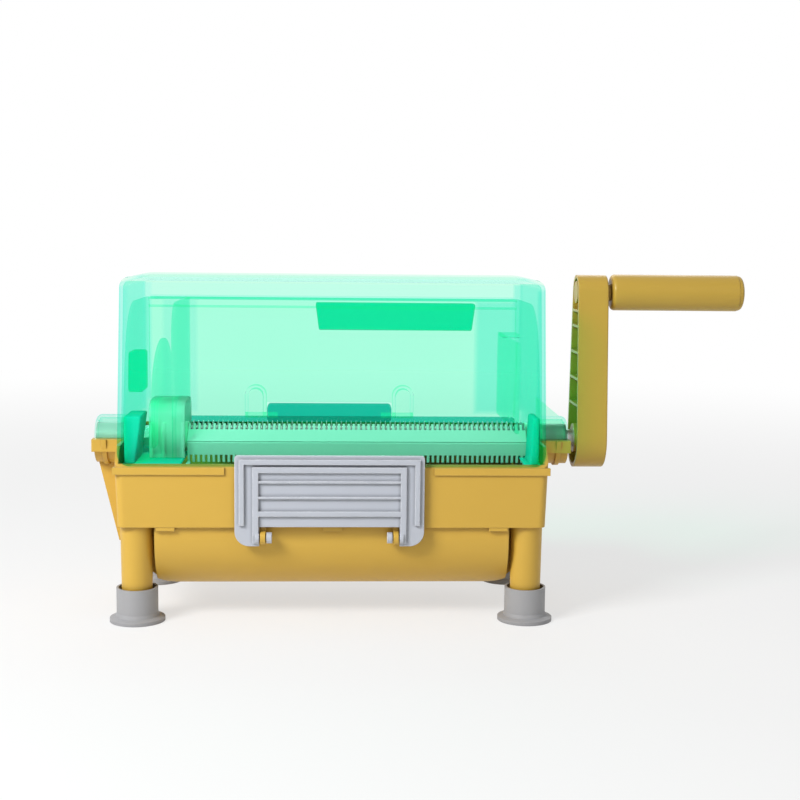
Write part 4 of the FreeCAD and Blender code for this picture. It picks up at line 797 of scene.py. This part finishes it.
class Workshop:
    """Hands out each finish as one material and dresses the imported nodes."""

    def __init__(self, frame: dict[str, object]) -> None:
        """Keeps the frame and builds the shared groups.
        """
        self.nodes: dict[str, bpy.types.Object] = frame["nodes"]
        self.effects = EffectLibrary()
        self.materials: dict[str, bpy.types.Material] = {}

    def material(self, finish: Finish) -> bpy.types.Material:
        """The one material of a finish, built when it is first asked for."""
        if finish.name not in self.materials:
            self.materials[finish.name] = finish.build(self.effects)
        return self.materials[finish.name]

    def dress(self, node: str, finish: Finish) -> None:
        """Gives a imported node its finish.

        Args:
            node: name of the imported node.
            finish: the finish for all its faces.
        """
        for slot in self.nodes[node].material_slots:
            slot.material = self.material(finish)
        log.info("%s: %s", node, finish.name)

    def piece(
        self, name: str, mesh: Mesh, finish: Finish, body: Body, slot: Slot
    ) -> bpy.types.Object:
        """Turns a worked mesh into a piece that rides on a body.

        Args:
            name: name of the piece.
            mesh: the worked mesh, freed here.
            finish: finish of the piece.
            body: body that carries it.
            slot: material slot of the record; not used.

        Returns:
            The new object.
        """
        bmesh.ops.recalc_face_normals(mesh, faces=mesh.faces)
        data = bpy.data.meshes.new(name)
        mesh.to_mesh(data)
        mesh.free()
        data.materials.append(self.material(finish))
        data.shade_smooth()
        data.set_sharp_from_angle(angle=SMOOTH_BELOW)
        item = bpy.data.objects.new(name, data)
        bpy.context.scene.collection.objects.link(item)
        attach(item, body.value)
        log.info("%s: %d faces on %s", name, len(data.polygons), body.value)
        return item


# ---------------------------------------------------------------- mesh helpers


def break_edges(mesh: Mesh, edges: list[bmesh.types.BMEdge], width: float, segments: int) -> None:
    """Rounds edges of a mesh.

    Args:
        mesh: the mesh, changed in place.
        edges: its edges to round.
        width: radius in millimetres.
        segments: facets of each rounding.
    """
    bmesh.ops.bevel(
        mesh, geom=edges, offset=width * MM, segments=segments, profile=0.5, affect="EDGES",
        clamp_overlap=True,
    )


def block(low: Point, high: Point, edge: float, segments: int = 3) -> Mesh:
    """Makes a block with rounded edges.

    Args:
        low: lowest corner in millimetres.
        high: highest corner in millimetres.
        edge: radius of its edges in millimetres.
        segments: facets of each rounding.

    Returns:
        The worked mesh in metres.
    """
    mesh = bmesh.new()
    bmesh.ops.create_cube(mesh, size=1.0)
    for vertex in mesh.verts:
        vertex.co = Vector([
            (below if share < 0 else above) * MM
            for share, below, above in zip(vertex.co, low, high)
        ])
    break_edges(mesh, list(mesh.edges), edge, segments)
    return mesh


def lean(mesh: Mesh, axis: int, within: Pair, heights: Pair, shift: float, power: int = 1) -> Mesh:
    """Leans one side of a mesh.

    Args:
        mesh: the mesh, changed in place.
        axis: 0 to move the side along X, 1 along Y.
        within: where along that axis the side lies, in millimetres.
        heights: Z where the lean starts and Z of its full shift, in millimetres.
        shift: the full shift in millimetres.
        power: 1 for a straight lean, 2 for a rounded one.

    Returns:
        The same mesh.
    """
    start, end = heights
    for vertex in mesh.verts:
        if within[0] * MM < vertex.co[axis] < within[1] * MM:
            share = max(0.0, (vertex.co.z / MM - start) / (end - start))
            vertex.co[axis] += shift * MM * share**power
    return mesh


def arc(middle: Pair, radii: Pair, turns: Pair, steps: int) -> list[Pair]:
    """Lays points along an arc.

    Args:
        middle: its middle.
        radii: its radii along the first and the second axis.
        turns: angles of its first and its last point, in radians.
        steps: number of parts between them.

    Returns:
        The points, one more than there are parts.
    """
    points = []
    for step in range(steps + 1):
        turn = turns[0] + (turns[1] - turns[0]) * step / steps
        along, above = radii[0] * math.cos(turn), radii[1] * math.sin(turn)
        points.append((middle[0] + along, middle[1] + above))
    return points


def slab(outline: Outline, start: float, end: float, edge: float) -> Mesh:
    """Makes a plate across X from its outline.

    Args:
        outline: Y and Z of its corners in millimetres.
        start: X of one face in millimetres.
        end: X of the other face in millimetres.
        edge: width of the broken edges in millimetres.

    Returns:
        The worked mesh in metres.
    """
    mesh = bmesh.new()
    face = mesh.faces.new([mesh.verts.new((start * MM, y * MM, z * MM)) for y, z in outline])
    swept = bmesh.ops.extrude_face_region(mesh, geom=[face])
    moved = [item for item in swept["geom"] if isinstance(item, bmesh.types.BMVert)]
    bmesh.ops.translate(mesh, verts=moved, vec=((end - start) * MM, 0.0, 0.0))
    bmesh.ops.recalc_face_normals(mesh, faces=mesh.faces)
    border = [
        side for side in mesh.edges
        if len(side.link_faces) == 2 and side.calc_face_angle() > BORDER_ABOVE
    ]
    break_edges(mesh, border, edge, BORDER_SEGMENTS)
    wide = [item for item in mesh.faces if len(item.verts) > MOST_CORNERS]
    bmesh.ops.triangulate(mesh, faces=wide)
    return mesh


def join(*parts: Mesh) -> Mesh:
    """Puts several worked meshes into one and frees them.

    Args:
        parts: the meshes.

    Returns:
        The joined mesh.
    """
    whole = bmesh.new()
    for part in parts:
        data = bpy.data.meshes.new("joined_part")
        part.to_mesh(data)
        part.free()
        whole.from_mesh(data)
        bpy.data.meshes.remove(data)
    return whole


def ring(middle: Point, radius: float, sides: int) -> list[Point]:
    """Lays points round a circle that faces upwards.

    Args:
        middle: its middle in millimetres.
        radius: its radius in millimetres.
        sides: number of points.

    Returns:
        The points in metres.
    """
    return [
        (
            (middle[0] + radius * math.cos(turn)) * MM,
            (middle[1] + radius * math.sin(turn)) * MM,
            middle[2] * MM,
        )
        for turn in (2.0 * math.pi * side / sides for side in range(sides))
    ]


def revolve(profile: Outline, centres: list[Point], sides: int) -> Mesh:
    """Turns a closed profile round lines along X.

    Args:
        profile: X offset and radius of its corners in millimetres, in order round the section.
        centres: middles of the copies in millimetres.
        sides: facets round the axis.

    Returns:
        The worked mesh in metres.
    """
    mesh = bmesh.new()
    for middle in centres:
        rings = []
        for side in range(sides):
            turn = 2.0 * math.pi * side / sides
            rings.append([
                mesh.verts.new((
                    (middle[0] + along) * MM,
                    (middle[1] + radius * math.cos(turn)) * MM,
                    (middle[2] + radius * math.sin(turn)) * MM,
                ))
                for along, radius in profile
            ])
        for side in range(sides):
            here, there = rings[side], rings[(side + 1) % sides]
            for i in range(len(profile)):
                j = (i + 1) % len(profile)
                mesh.faces.new((here[i], here[j], there[j], there[i]))
    return mesh


# ---------------------------------------------------------------- sub-assemblies

FRONT_CORNER: Pair = (math.pi, math.pi / 2)  # turn of a rounded upper front corner
# corners across X as Y and Z in millimetres
CHEEK_FRONT: Outline = (
    (-48.5, 99.0), (-47.6, 119.0), (-46.4, 130.0), (-44.4, 141.0), (-41.6, 152.0), (-38.4, 162.0),
    (-34.8, 171.0), (-30.8, 178.5), (-26.0, 185.0), (-20.0, 190.4), (-13.0, 194.4), (-5.0, 197.0),
    (3.0, 198.0),
)
RIGHT_PLATE: Outline = (
    (-40.0, 118.0), (-40.0, 172.0), (-37.0, 175.0), (67.1, 175.0), (67.1, 118.0), (14.0, 118.0),
    (9.0, 123.4), (-9.0, 123.4), (-14.0, 118.0),
)


@dataclass
class Guard:
    """See-through inner hopper with its plates and thick parts; sizes in millimetres."""

    shop: Workshop
    outer_x: float = 129.2
    wall: float = 2.0
    back_y: float = 68.9
    back_wall: float = 2.2
    back_low: float = 115.1
    back_corner: float = 4.0
    inside_y: float = 67.1
    low_z: float = 99.0
    top_z: float = 198.0
    overlap: float = 0.4
    edge: float = 0.4
    block_edge: float = 0.5
    shaft_z: float = 110.3
    shaft_room: float = 12.5
    hole_steps: int = 12
    round_steps: int = 8
    lips: tuple[Pair, ...] = ((1.6, 6.0), (7.2, 4.0))
    lip_thick: float = 1.5
    lip_overlap: float = 0.2
    plate_half: float = 1.0
    partition_x: float = -100.4
    partition_front: float = -30.0
    partition_round: float = 20.0
    partition_shoulder: float = 178.0
    partition_gap: float = 8.2
    arch_x: float = -112.0
    arch_low: float = 108.0
    arch_middle: Pair = (14.0, 135.0)
    arch_radii: Pair = (54.0, 38.0)
    arch_steps: int = 24
    right_x: float = 115.8
    rail_low: Pair = (44.0, 172.4)
    rail_top: float = 175.0
    hinge_x: float = -2.7
    block_half: float = 43.6
    ledge_middle: float = 42.55
    ledge_heights: Pair = (195.0, 176.5)
    ledge_taper: float = 2.4
    base_half: float = 50.0
    base_left: Pair = (-130.4, -94.4)
    base_right: Pair = (120.6, 130.4)
    base_heights: Pair = (98.15, 99.5)
    chamber_ends: Pair = (-116.8, -94.2)
    chamber_half: float = 22.0
    chamber_wall: float = 1.6
    chamber_shoulder: Pair = (-13.0, 126.0)
    chamber_round: float = 9.0
    chamber_low: Pair = (99.6, 107.4)
    ribs_x: tuple[float, ...] = (-115.4, -107.6, -95.6)
    rib_half: float = 1.1
    rib_y: Pair = (-23.0, -21.8)
    rib_top: float = 122.0

    def build(self) -> None:
        """Builds the guard's pieces in place of its plain node."""
        shell = self.shop.piece("guard_shell", self._shell(), CLEAR_GREEN, Body.CASE, Slot.GREEN)
        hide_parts("hopper_guard")
        for name, mesh, finish in (
            ("guard_hinge_block", self._hinge_block(), BLOCK_GREEN),
            ("guard_foot_rail", self._foot_rail(), FOOT_GREEN),
            ("guard_ledge", self._ledge(), LEDGE_GREEN),
            ("guard_side_block", self._side_block(), SIDE_GREEN),
            ("guard_side_pad", self._side_pad(), PAD_GREEN),
            ("guard_side_pad_right", self._side_pad_right(), PAD_GREEN),
            ("guard_base_left", self._base(*self.base_left), PAD_GREEN),
            ("guard_base_right", self._base(*self.base_right), PAD_GREEN),
            ("guard_chamber", self._chamber(), HAZY_GREEN),
        ):
            item = self.shop.piece(name, mesh, finish, Body.CASE, Slot.GREEN)
            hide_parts("hopper_guard")

    def _hole(self) -> list[Pair]:
        """Round end of the slot for the shaft, from rear to front."""
        room = self.shaft_room
        return arc((0.0, self.shaft_z), (room, room), (0.0, math.pi), self.hole_steps)

    def _plate(self, outline: Outline, middle: float) -> Mesh:
        """Makes an inner plate across X.

        Args:
            outline: Y and Z of its corners in millimetres.
            middle: X of its middle in millimetres.

        Returns:
            The worked mesh.
        """
        return slab(outline, middle - self.plate_half, middle + self.plate_half, self.edge)

    def _cheek(self, inner: float, outer: float) -> Mesh:
        """Makes a side wall with a full, curved front edge.

        Args:
            inner: X of its inner face in millimetres.
            outer: X of its outer face in millimetres.

        Returns:
            The worked mesh.
        """
        cut = self.back_corner
        rear = [
            (self.back_y - cut, self.top_z), (self.back_y, self.top_z - cut),
            (self.back_y, self.low_z),
        ]
        slot = [(self.shaft_room, self.low_z), *self._hole(), (-self.shaft_room, self.low_z)]
        return slab([*CHEEK_FRONT, *rear, *slot], inner, outer, self.edge)

    def _partition(self) -> Mesh:
        """Plate beside the gear compartment, with a rounded upper front corner."""
        step = self.low_z + self.partition_gap
        radius = self.partition_round
        corner = (self.partition_front + radius, self.partition_shoulder)
        return self._plate(
            [
                (self.partition_front, self.low_z),
                *arc(corner, (radius, radius), FRONT_CORNER, self.round_steps),
                (self.inside_y, self.top_z), (self.inside_y, step), (self.shaft_room, step),
                *self._hole(), (-self.shaft_room, self.low_z),
            ],
            self.partition_x,
        )

    def _arch(self) -> Mesh:
        """Arched plate in the gear compartment."""
        spring = self.arch_middle[1]
        front = self.arch_middle[0] - self.arch_radii[0]
        return self._plate(
            [
                (self.inside_y, self.arch_low), (self.inside_y, spring),
                *arc(self.arch_middle, self.arch_radii, (0.0, math.pi), self.arch_steps)[1:],
                (front, self.arch_low), (-self.shaft_room, self.arch_low),
                *reversed(self._hole()[1:-1]), (self.shaft_room, self.arch_low),
            ],
            self.arch_x,
        )

    def _shell(self) -> Mesh:
        """Cheeks, back wall, rim lips, the three plates and the rail on the right one."""
        inner = self.outer_x - self.wall
        wide = inner + self.overlap
        wall_y = self.back_y - self.back_wall
        parts = [
            self._cheek(-inner, -self.outer_x),
            self._cheek(inner, self.outer_x),
            block((-wide, wall_y, self.back_low), (wide, self.back_y, self.top_z), self.block_edge),
        ]
        lip_x = inner + self.lip_overlap
        for drop, deep in self.lips:
            low = self.top_z - drop
            parts.append(block(
                (-lip_x, wall_y - deep, low), (lip_x, self.inside_y, low + self.lip_thick),
                self.block_edge,
            ))
        parts += [
            self._partition(),
            self._arch(),
            self._plate(RIGHT_PLATE, self.right_x),
            block(
                (self.right_x, *self.rail_low), (wide, self.inside_y, self.rail_top),
                self.block_edge,
            ),
        ]
        return join(*parts)

    def _hinge_block(self) -> Mesh:
        """Block behind the back wall that holds the hinge pins."""
        low, high = self.hinge_x - self.block_half, self.hinge_x + self.block_half
        return block((low, 66.9, 110.8), (high, 83.5, 122.5), 2.2)

    @staticmethod
    def _foot_rail() -> Mesh:
        """Thick rail along the foot of the back wall."""
        return block((-127.0, 60.9, 107.1), (127.0, 68.9, 115.0), 1.0)

    def _ledge(self) -> Mesh:
        """Pocket on the back wall that tapers downwards."""
        mesh = block((-12.5, 52.9, 176.5), (97.6, 67.0, 195.0), 1.2)
        lean(mesh, 0, (-math.inf, self.ledge_middle), self.ledge_heights, self.ledge_taper)
        return lean(mesh, 0, (self.ledge_middle, math.inf), self.ledge_heights, -self.ledge_taper)

    @staticmethod
    def _side_block() -> Mesh:
        """Thick boss on the left cheek, whose front face leans back."""
        mesh = block((-127.4, -38.0, 143.0), (-118.0, -14.0, 168.0), 1.6)
        return lean(mesh, 1, (-math.inf, -26.0), (150.0, 168.0), 3.5)

    @staticmethod
    def _side_pad() -> Mesh:
        """Thick pad on the left cheek, rounded below, with its lower end tucked in."""
        mesh = block((-129.0, -46.4, 99.4), (-118.4, -16.0, 129.0), 1.2, 4)
        return lean(mesh, 0, (-122.0, math.inf), (112.0, 99.4), -4.4, 2)

    @staticmethod
    def _side_pad_right() -> Mesh:
        """Thick pad on the right cheek, narrower than the left, with its upper end tucked in."""
        mesh = block((123.4, -46.4, 99.4), (129.0, -22.0, 129.0), 1.2, 4)
        return lean(mesh, 0, (-math.inf, 125.0), (118.0, 129.0), 1.6, 2)

    def _base(self, start: float, end: float) -> Mesh:
        """Foot flange that lies on the case's inner shelf.

        Args:
            start: X of its left edge in millimetres.
            end: X of its right edge in millimetres.

        Returns:
            The worked mesh.
        """
        low, high = self.base_heights
        return block((start, -self.base_half, low), (end, self.base_half, high), self.block_edge)

    def _hood(self, inset: float) -> list[Pair]:
        """Lays one side of the hood's section.

        Args:
            inset: distance from its outer side in millimetres.

        Returns:
            Y and Z of its corners, from front to rear.
        """
        foot, radius = self.chamber_half - inset, self.chamber_round - inset
        front = arc(self.chamber_shoulder, (radius, radius), FRONT_CORNER, self.round_steps)
        rear = [(-y, z) for y, z in reversed(front)]
        return [(-foot, self.chamber_low[0]), *front, *rear, (foot, self.chamber_low[1])]

    def _chamber(self) -> Mesh:
        """Rounded hood over the spool, with upright ribs."""
        section = [*self._hood(0.0), *reversed(self._hood(self.chamber_wall))]
        parts = [slab(section, *self.chamber_ends, self.edge)]
        for rib_x in self.ribs_x:
            parts.append(block(
                (rib_x - self.rib_half, self.rib_y[0], self.chamber_low[0]),
                (rib_x + self.rib_half, self.rib_y[1], self.rib_top), self.edge,
            ))
        return join(*parts)


@dataclass
class Case:
    """Fixed body: housing, trough, legs, feet, guard, bushes and combs; sizes in millimetres."""

    shop: Workshop
    screw_head: float = 2.9
    screw_high: float = 1.5
    screw_shank: float = 1.28
    screw_deep: float = 3.4
    screw_pitch: float = 96.0
    screws_in_row: int = 3
    screw_sides: int = 48
    head_rings: int = 12
    head_round: float = 0.35
    cross_half: float = 0.32
    cross_reach: float = 1.65
    cross_deep: float = 0.8
    cross_middle: float = 1.0

    def build(self) -> None:
        """Dresses every fixed node and builds the guard and the screws."""
        for node in ("body_housing", "lower_trough"):
            self.shop.dress(node, TAN)
        for end in ("front", "rear"):
            for side in ("left", "right"):
                self.shop.dress(f"leg_{end}_{side}", TAN)
                self.shop.dress(f"suction_foot_{end}_{side}", RUBBER)
        Guard(self.shop).build()
        for side in ("left", "right"):
            self.shop.dress(f"bearing_bush_{side}", WHITE)
        for node in ("comb_front", "comb_rear"):
            self.shop.dress(node, MILKY)
        self._screws()
        self.shop.dress("hinge_pins", CLEAR_GREEN)

    def _screws(self) -> None:
        """Builds the combs' cross-recessed screws in place of their plain node."""
        low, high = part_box("comb_screws")
        parts = []
        for seat_y, seat_z in (
            (low[1] / MM + self.screw_head, low[2] / MM + self.screw_deep),
            (high[1] / MM - self.screw_head, high[2] / MM - self.screw_high),
        ):
            for step in range(self.screws_in_row):
                x = low[0] / MM + self.screw_head + self.screw_pitch * step
                parts.append(self._screw((x, seat_y, seat_z)))
        item = self.shop.piece("cross_screws", join(*parts), STEEL, Body.CASE, Slot.STEEL)
        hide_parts("comb_screws")

    def _screw(self, seat: Point) -> Mesh:
        """One pan-head screw with a cross recess.

        Args:
            seat: middle of the face under its head in millimetres.

        Returns:
            The worked mesh in metres.
        """
        mesh = bmesh.new()
        sides, head = self.screw_sides, self.screw_head
        top = mesh.verts.new(
            (seat[0] * MM, seat[1] * MM, (seat[2] + self.screw_high - self.cross_middle) * MM)
        )
        loops = []
        for step in range(1, self.head_rings + 1):
            radius = head * step / self.head_rings
            rise = self.screw_high * (1.0 - self.head_round * (radius / head) ** 4)
            loop = []
            for side in range(sides):
                turn = 2.0 * math.pi * side / sides
                x, y = radius * math.cos(turn), radius * math.sin(turn)
                crossed = (
                    min(abs(x), abs(y)) < self.cross_half and max(abs(x), abs(y)) < self.cross_reach
                )
                z = seat[2] + rise - (self.cross_deep if crossed else 0.0)
                loop.append(mesh.verts.new(((seat[0] + x) * MM, (seat[1] + y) * MM, z * MM)))
            loops.append(loop)
        shank, deep = self.screw_shank, self.screw_deep
        for radius, drop in ((head, 0.0), (shank, 0.0), (shank, deep)):
            middle = (seat[0], seat[1], seat[2] - drop)
            loops.append([mesh.verts.new(point) for point in ring(middle, radius, sides)])
        for side in range(sides):
            there = (side + 1) % sides
            mesh.faces.new((top, loops[0][side], loops[0][there]))
            for inner, outer in zip(loops, loops[1:]):
                mesh.faces.new((inner[side], outer[side], outer[there], inner[there]))
        mesh.faces.new(loops[-1])
        return mesh


@dataclass
class Lid:
    """See-through cover."""

    shop: Workshop

    def build(self) -> None:
        """Dresses the cover."""
        self.shop.dress("lid_cover", CLEAR_GREEN)


@dataclass
class Latch:
    """Louvred latch and its pivot pins."""

    shop: Workshop

    def build(self) -> None:
        """Dresses the latch."""
        self.shop.dress("latch_panel", GREY)
        self.shop.dress("latch_pivot_pins", GREY)


@dataclass
class Roller:
    """Cranked shaft with its discs, collars and arm; sizes in millimetres."""

    shop: Workshop
    shaft_z: float = 110.3
    disc_first: float = -90.7
    disc_pitch: float = 3.2
    disc_count: int = 68
    disc_radius: float = 10.48
    disc_half: float = 0.3
    disc_bore: float = 6.4
    disc_sides: int = 48
    ground_wide: float = 1.1
    cutting_half: float = 0.05

    def build(self) -> None:
        """Dresses the turning parts."""
        self.shop.dress("blade_bar", STEEL)
        self._discs()
        for side in ("left", "right"):
            self.shop.dress(f"end_collar_{side}", COLLAR_GREEN_LIT)
        self.shop.dress("crank_arm", TAN_SMOOTH)
        self.shop.dress("crank_screw", STEEL)
        self.shop.dress("handle_pin", TAN_SMOOTH)

    def _discs(self) -> None:
        """Builds the row of ground discs in place of the plain ones."""
        shoulder = self.disc_radius - self.ground_wide
        left = [
            (-self.disc_half, self.disc_bore), (-self.disc_half, shoulder),
            (-self.cutting_half, self.disc_radius),
        ]
        profile = left + [(-x, radius) for x, radius in reversed(left)]
        centres = [
            (self.disc_first + self.disc_pitch * i, 0.0, self.shaft_z)
            for i in range(self.disc_count)
        ]
        mesh = revolve(profile, centres, self.disc_sides)
        item = self.shop.piece("ground_discs", mesh, STEEL, Body.ROLLER, Slot.STEEL)
        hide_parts("cutting_discs")


@dataclass
class Grip:
    """Turning handle sleeve and its cap."""

    shop: Workshop

    def build(self) -> None:
        """Dresses the handle."""
        self.shop.dress("grip_sleeve", TAN_SMOOTH)
        self.shop.dress("grip_end_cap", TAN_SMOOTH)


# ---------------------------------------------------------------- studio


@dataclass(frozen=True)
class Lamp:
    """Soft rectangular lamp aimed at a point."""

    name: str
    place: Point
    target: Point
    width: float
    height: float
    power: float
    colour: Colour = (1.0, 1.0, 1.0)

    def build(self) -> bpy.types.Object:
        """Adds the lamp.

        Returns:
            The lamp object.
        """
        data = bpy.data.lights.new(self.name, "AREA")
        data.shape = "RECTANGLE"
        data.size = self.width
        data.size_y = self.height
        data.energy = self.power
        data.color = self.colour
        item = bpy.data.objects.new(self.name, data)
        item.location = self.place
        aim = Vector(self.target) - Vector(self.place)
        item.rotation_euler = aim.to_track_quat("-Z", "Y").to_euler()
        bpy.context.scene.collection.objects.link(item)
        return item


@dataclass(frozen=True)
class PhotoCamera:
    """Camera at the photograph's viewing angle, for a square frame of 800 points a side."""

    place: Point = (-0.0003, -0.9099, 0.2416)
    yaw: float = math.radians(2.76)
    pitch: float = math.radians(6.7)
    roll: float = math.radians(0.61)
    focal: float = 1402.6
    frame: float = 800.0
    sensor: float = 36.0

    def build(self) -> bpy.types.Object:
        """Adds the camera and makes it the scene's own.

        Returns:
            The camera object.
        """
        ahead = Vector((
            math.sin(self.yaw) * math.cos(self.pitch),
            math.cos(self.yaw) * math.cos(self.pitch),
            -math.sin(self.pitch),
        ))
        right = Vector((math.cos(self.yaw), -math.sin(self.yaw), 0.0))
        up = right.cross(ahead)
        across = right * math.cos(self.roll) + up * math.sin(self.roll)
        above = up * math.cos(self.roll) - right * math.sin(self.roll)
        data = bpy.data.cameras.new("photo_camera")
        data.sensor_width = self.sensor
        data.lens = self.focal / self.frame * self.sensor
        data.clip_start = 0.01
        data.clip_end = 50.0
        item = bpy.data.objects.new("photo_camera", data)
        turn = Matrix((across, above, -ahead)).transposed().to_4x4()
        item.matrix_world = Matrix.Translation(self.place) @ turn
        bpy.context.scene.collection.objects.link(item)
        bpy.context.scene.camera = item
        return item


@dataclass
class Studio:
    """White floor, white surroundings and soft lamps; sizes in metres."""

    floor_half: float = 8.0
    floor_shown: float = 0.62
    floor_colour: Colour = (0.86, 0.86, 0.86)
    floor_roughness: float = 0.9
    white_from: float = 0.35
    white_at: float = 1.6
    world_light: float = 0.32

    def build(self) -> None:
        """Builds floor, world, lamps and camera."""
        self._floor()
        self._world()
        for lamp in (
            Lamp(
                "key_lamp", place=(-0.75, -0.75, 0.85), target=(0.0, 0.0, 0.10),
                width=0.5, height=0.4, power=15.0,
            ),
            Lamp(
                "fill_lamp", place=(1.1, -1.1, 0.7), target=(0.05, 0.0, 0.10),
                width=1.0, height=1.0, power=1.5,
            ),
            Lamp(
                "back_lamp", place=(0.1, 1.3, 1.0), target=(0.0, 0.0, 0.12),
                width=1.2, height=0.8, power=5.0,
            ),
        ):
            lamp.build()
        PhotoCamera().build()
        bpy.context.scene.view_settings.view_transform = "Standard"
        log.info("studio: floor, world, lamps and camera")

    @staticmethod
    def _seen(tree: Tree) -> Socket:
        """Adds a factor of 1 for rays that look at the surroundings.

        Args:
            tree: tree of the floor or the world.

        Returns:
            The socket with the factor.
        """
        path = tree.nodes.new("ShaderNodeLightPath")
        first = maths(tree, "MAXIMUM", path.outputs["Is Camera Ray"], path.outputs["Is Glossy Ray"])
        return maths(tree, "MAXIMUM", first, path.outputs["Is Transmission Ray"])

    def _floor(self) -> None:
        """Adds the floor, which shows white and keeps the shadow."""
        mesh = bmesh.new()
        bmesh.ops.create_grid(mesh, x_segments=8, y_segments=8, size=self.floor_half)
        data = bpy.data.meshes.new("floor")
        mesh.to_mesh(data)
        mesh.free()
        material, tree, shader = start_material("floor_white")
        shader.inputs["Base Color"].default_value = rgba(self.floor_colour)
        shader.inputs["Roughness"].default_value = self.floor_roughness
        shader.inputs["Specular IOR Level"].default_value = 0.0
        glow = tree.nodes.new("ShaderNodeEmission")
        away = tree.nodes.new("ShaderNodeVectorMath")
        away.operation = "LENGTH"
        tree.links.new(tree.nodes.new("ShaderNodeTexCoord").outputs["Object"], away.inputs[0])
        spread = tree.nodes.new("ShaderNodeMapRange")
        spread.interpolation_type = "SMOOTHSTEP"
        spread.inputs["From Min"].default_value = self.white_from
        spread.inputs["From Max"].default_value = self.white_at
        spread.inputs["To Min"].default_value = self.floor_shown
        tree.links.new(away.outputs["Value"], spread.inputs["Value"])
        share = maths(tree, "MULTIPLY", self._seen(tree), spread.outputs["Result"])
        mix_shaders(
            tree, share, shader.outputs["BSDF"], glow.outputs["Emission"],
            tree.nodes["Material Output"].inputs["Surface"],
        )
        data.materials.append(material)
        item = bpy.data.objects.new("floor", data)
        bpy.context.scene.collection.objects.link(item)

    def _world(self) -> None:
        """Makes the surroundings white where they are looked at, and a plain light elsewhere."""
        world = bpy.data.worlds.new("white_studio")
        bpy.context.scene.world = world
        world.use_nodes = True
        tree = world.node_tree
        light, shown = tree.nodes["Background"], tree.nodes.new("ShaderNodeBackground")
        for background, strength in ((light, self.world_light), (shown, 1.0)):
            background.inputs["Color"].default_value = (1.0, 1.0, 1.0, 1.0)
            background.inputs["Strength"].default_value = strength
        mix_shaders(
            tree, self._seen(tree), light.outputs["Background"], shown.outputs["Background"],
            tree.nodes["World Output"].inputs["Surface"],
        )


def main() -> None:
    """Loads the frame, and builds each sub-assembly and the studio."""
    logging.basicConfig(level=logging.INFO, format="%(name)s %(message)s")
    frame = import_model()
    shop = Workshop(frame)
    for part in (Case(shop), Lid(shop), Latch(shop), Roller(shop), Grip(shop)):
        log.info("building %s", type(part).__name__)
        part.build()
    Studio().build()


if __name__ == "__main__":
    main()
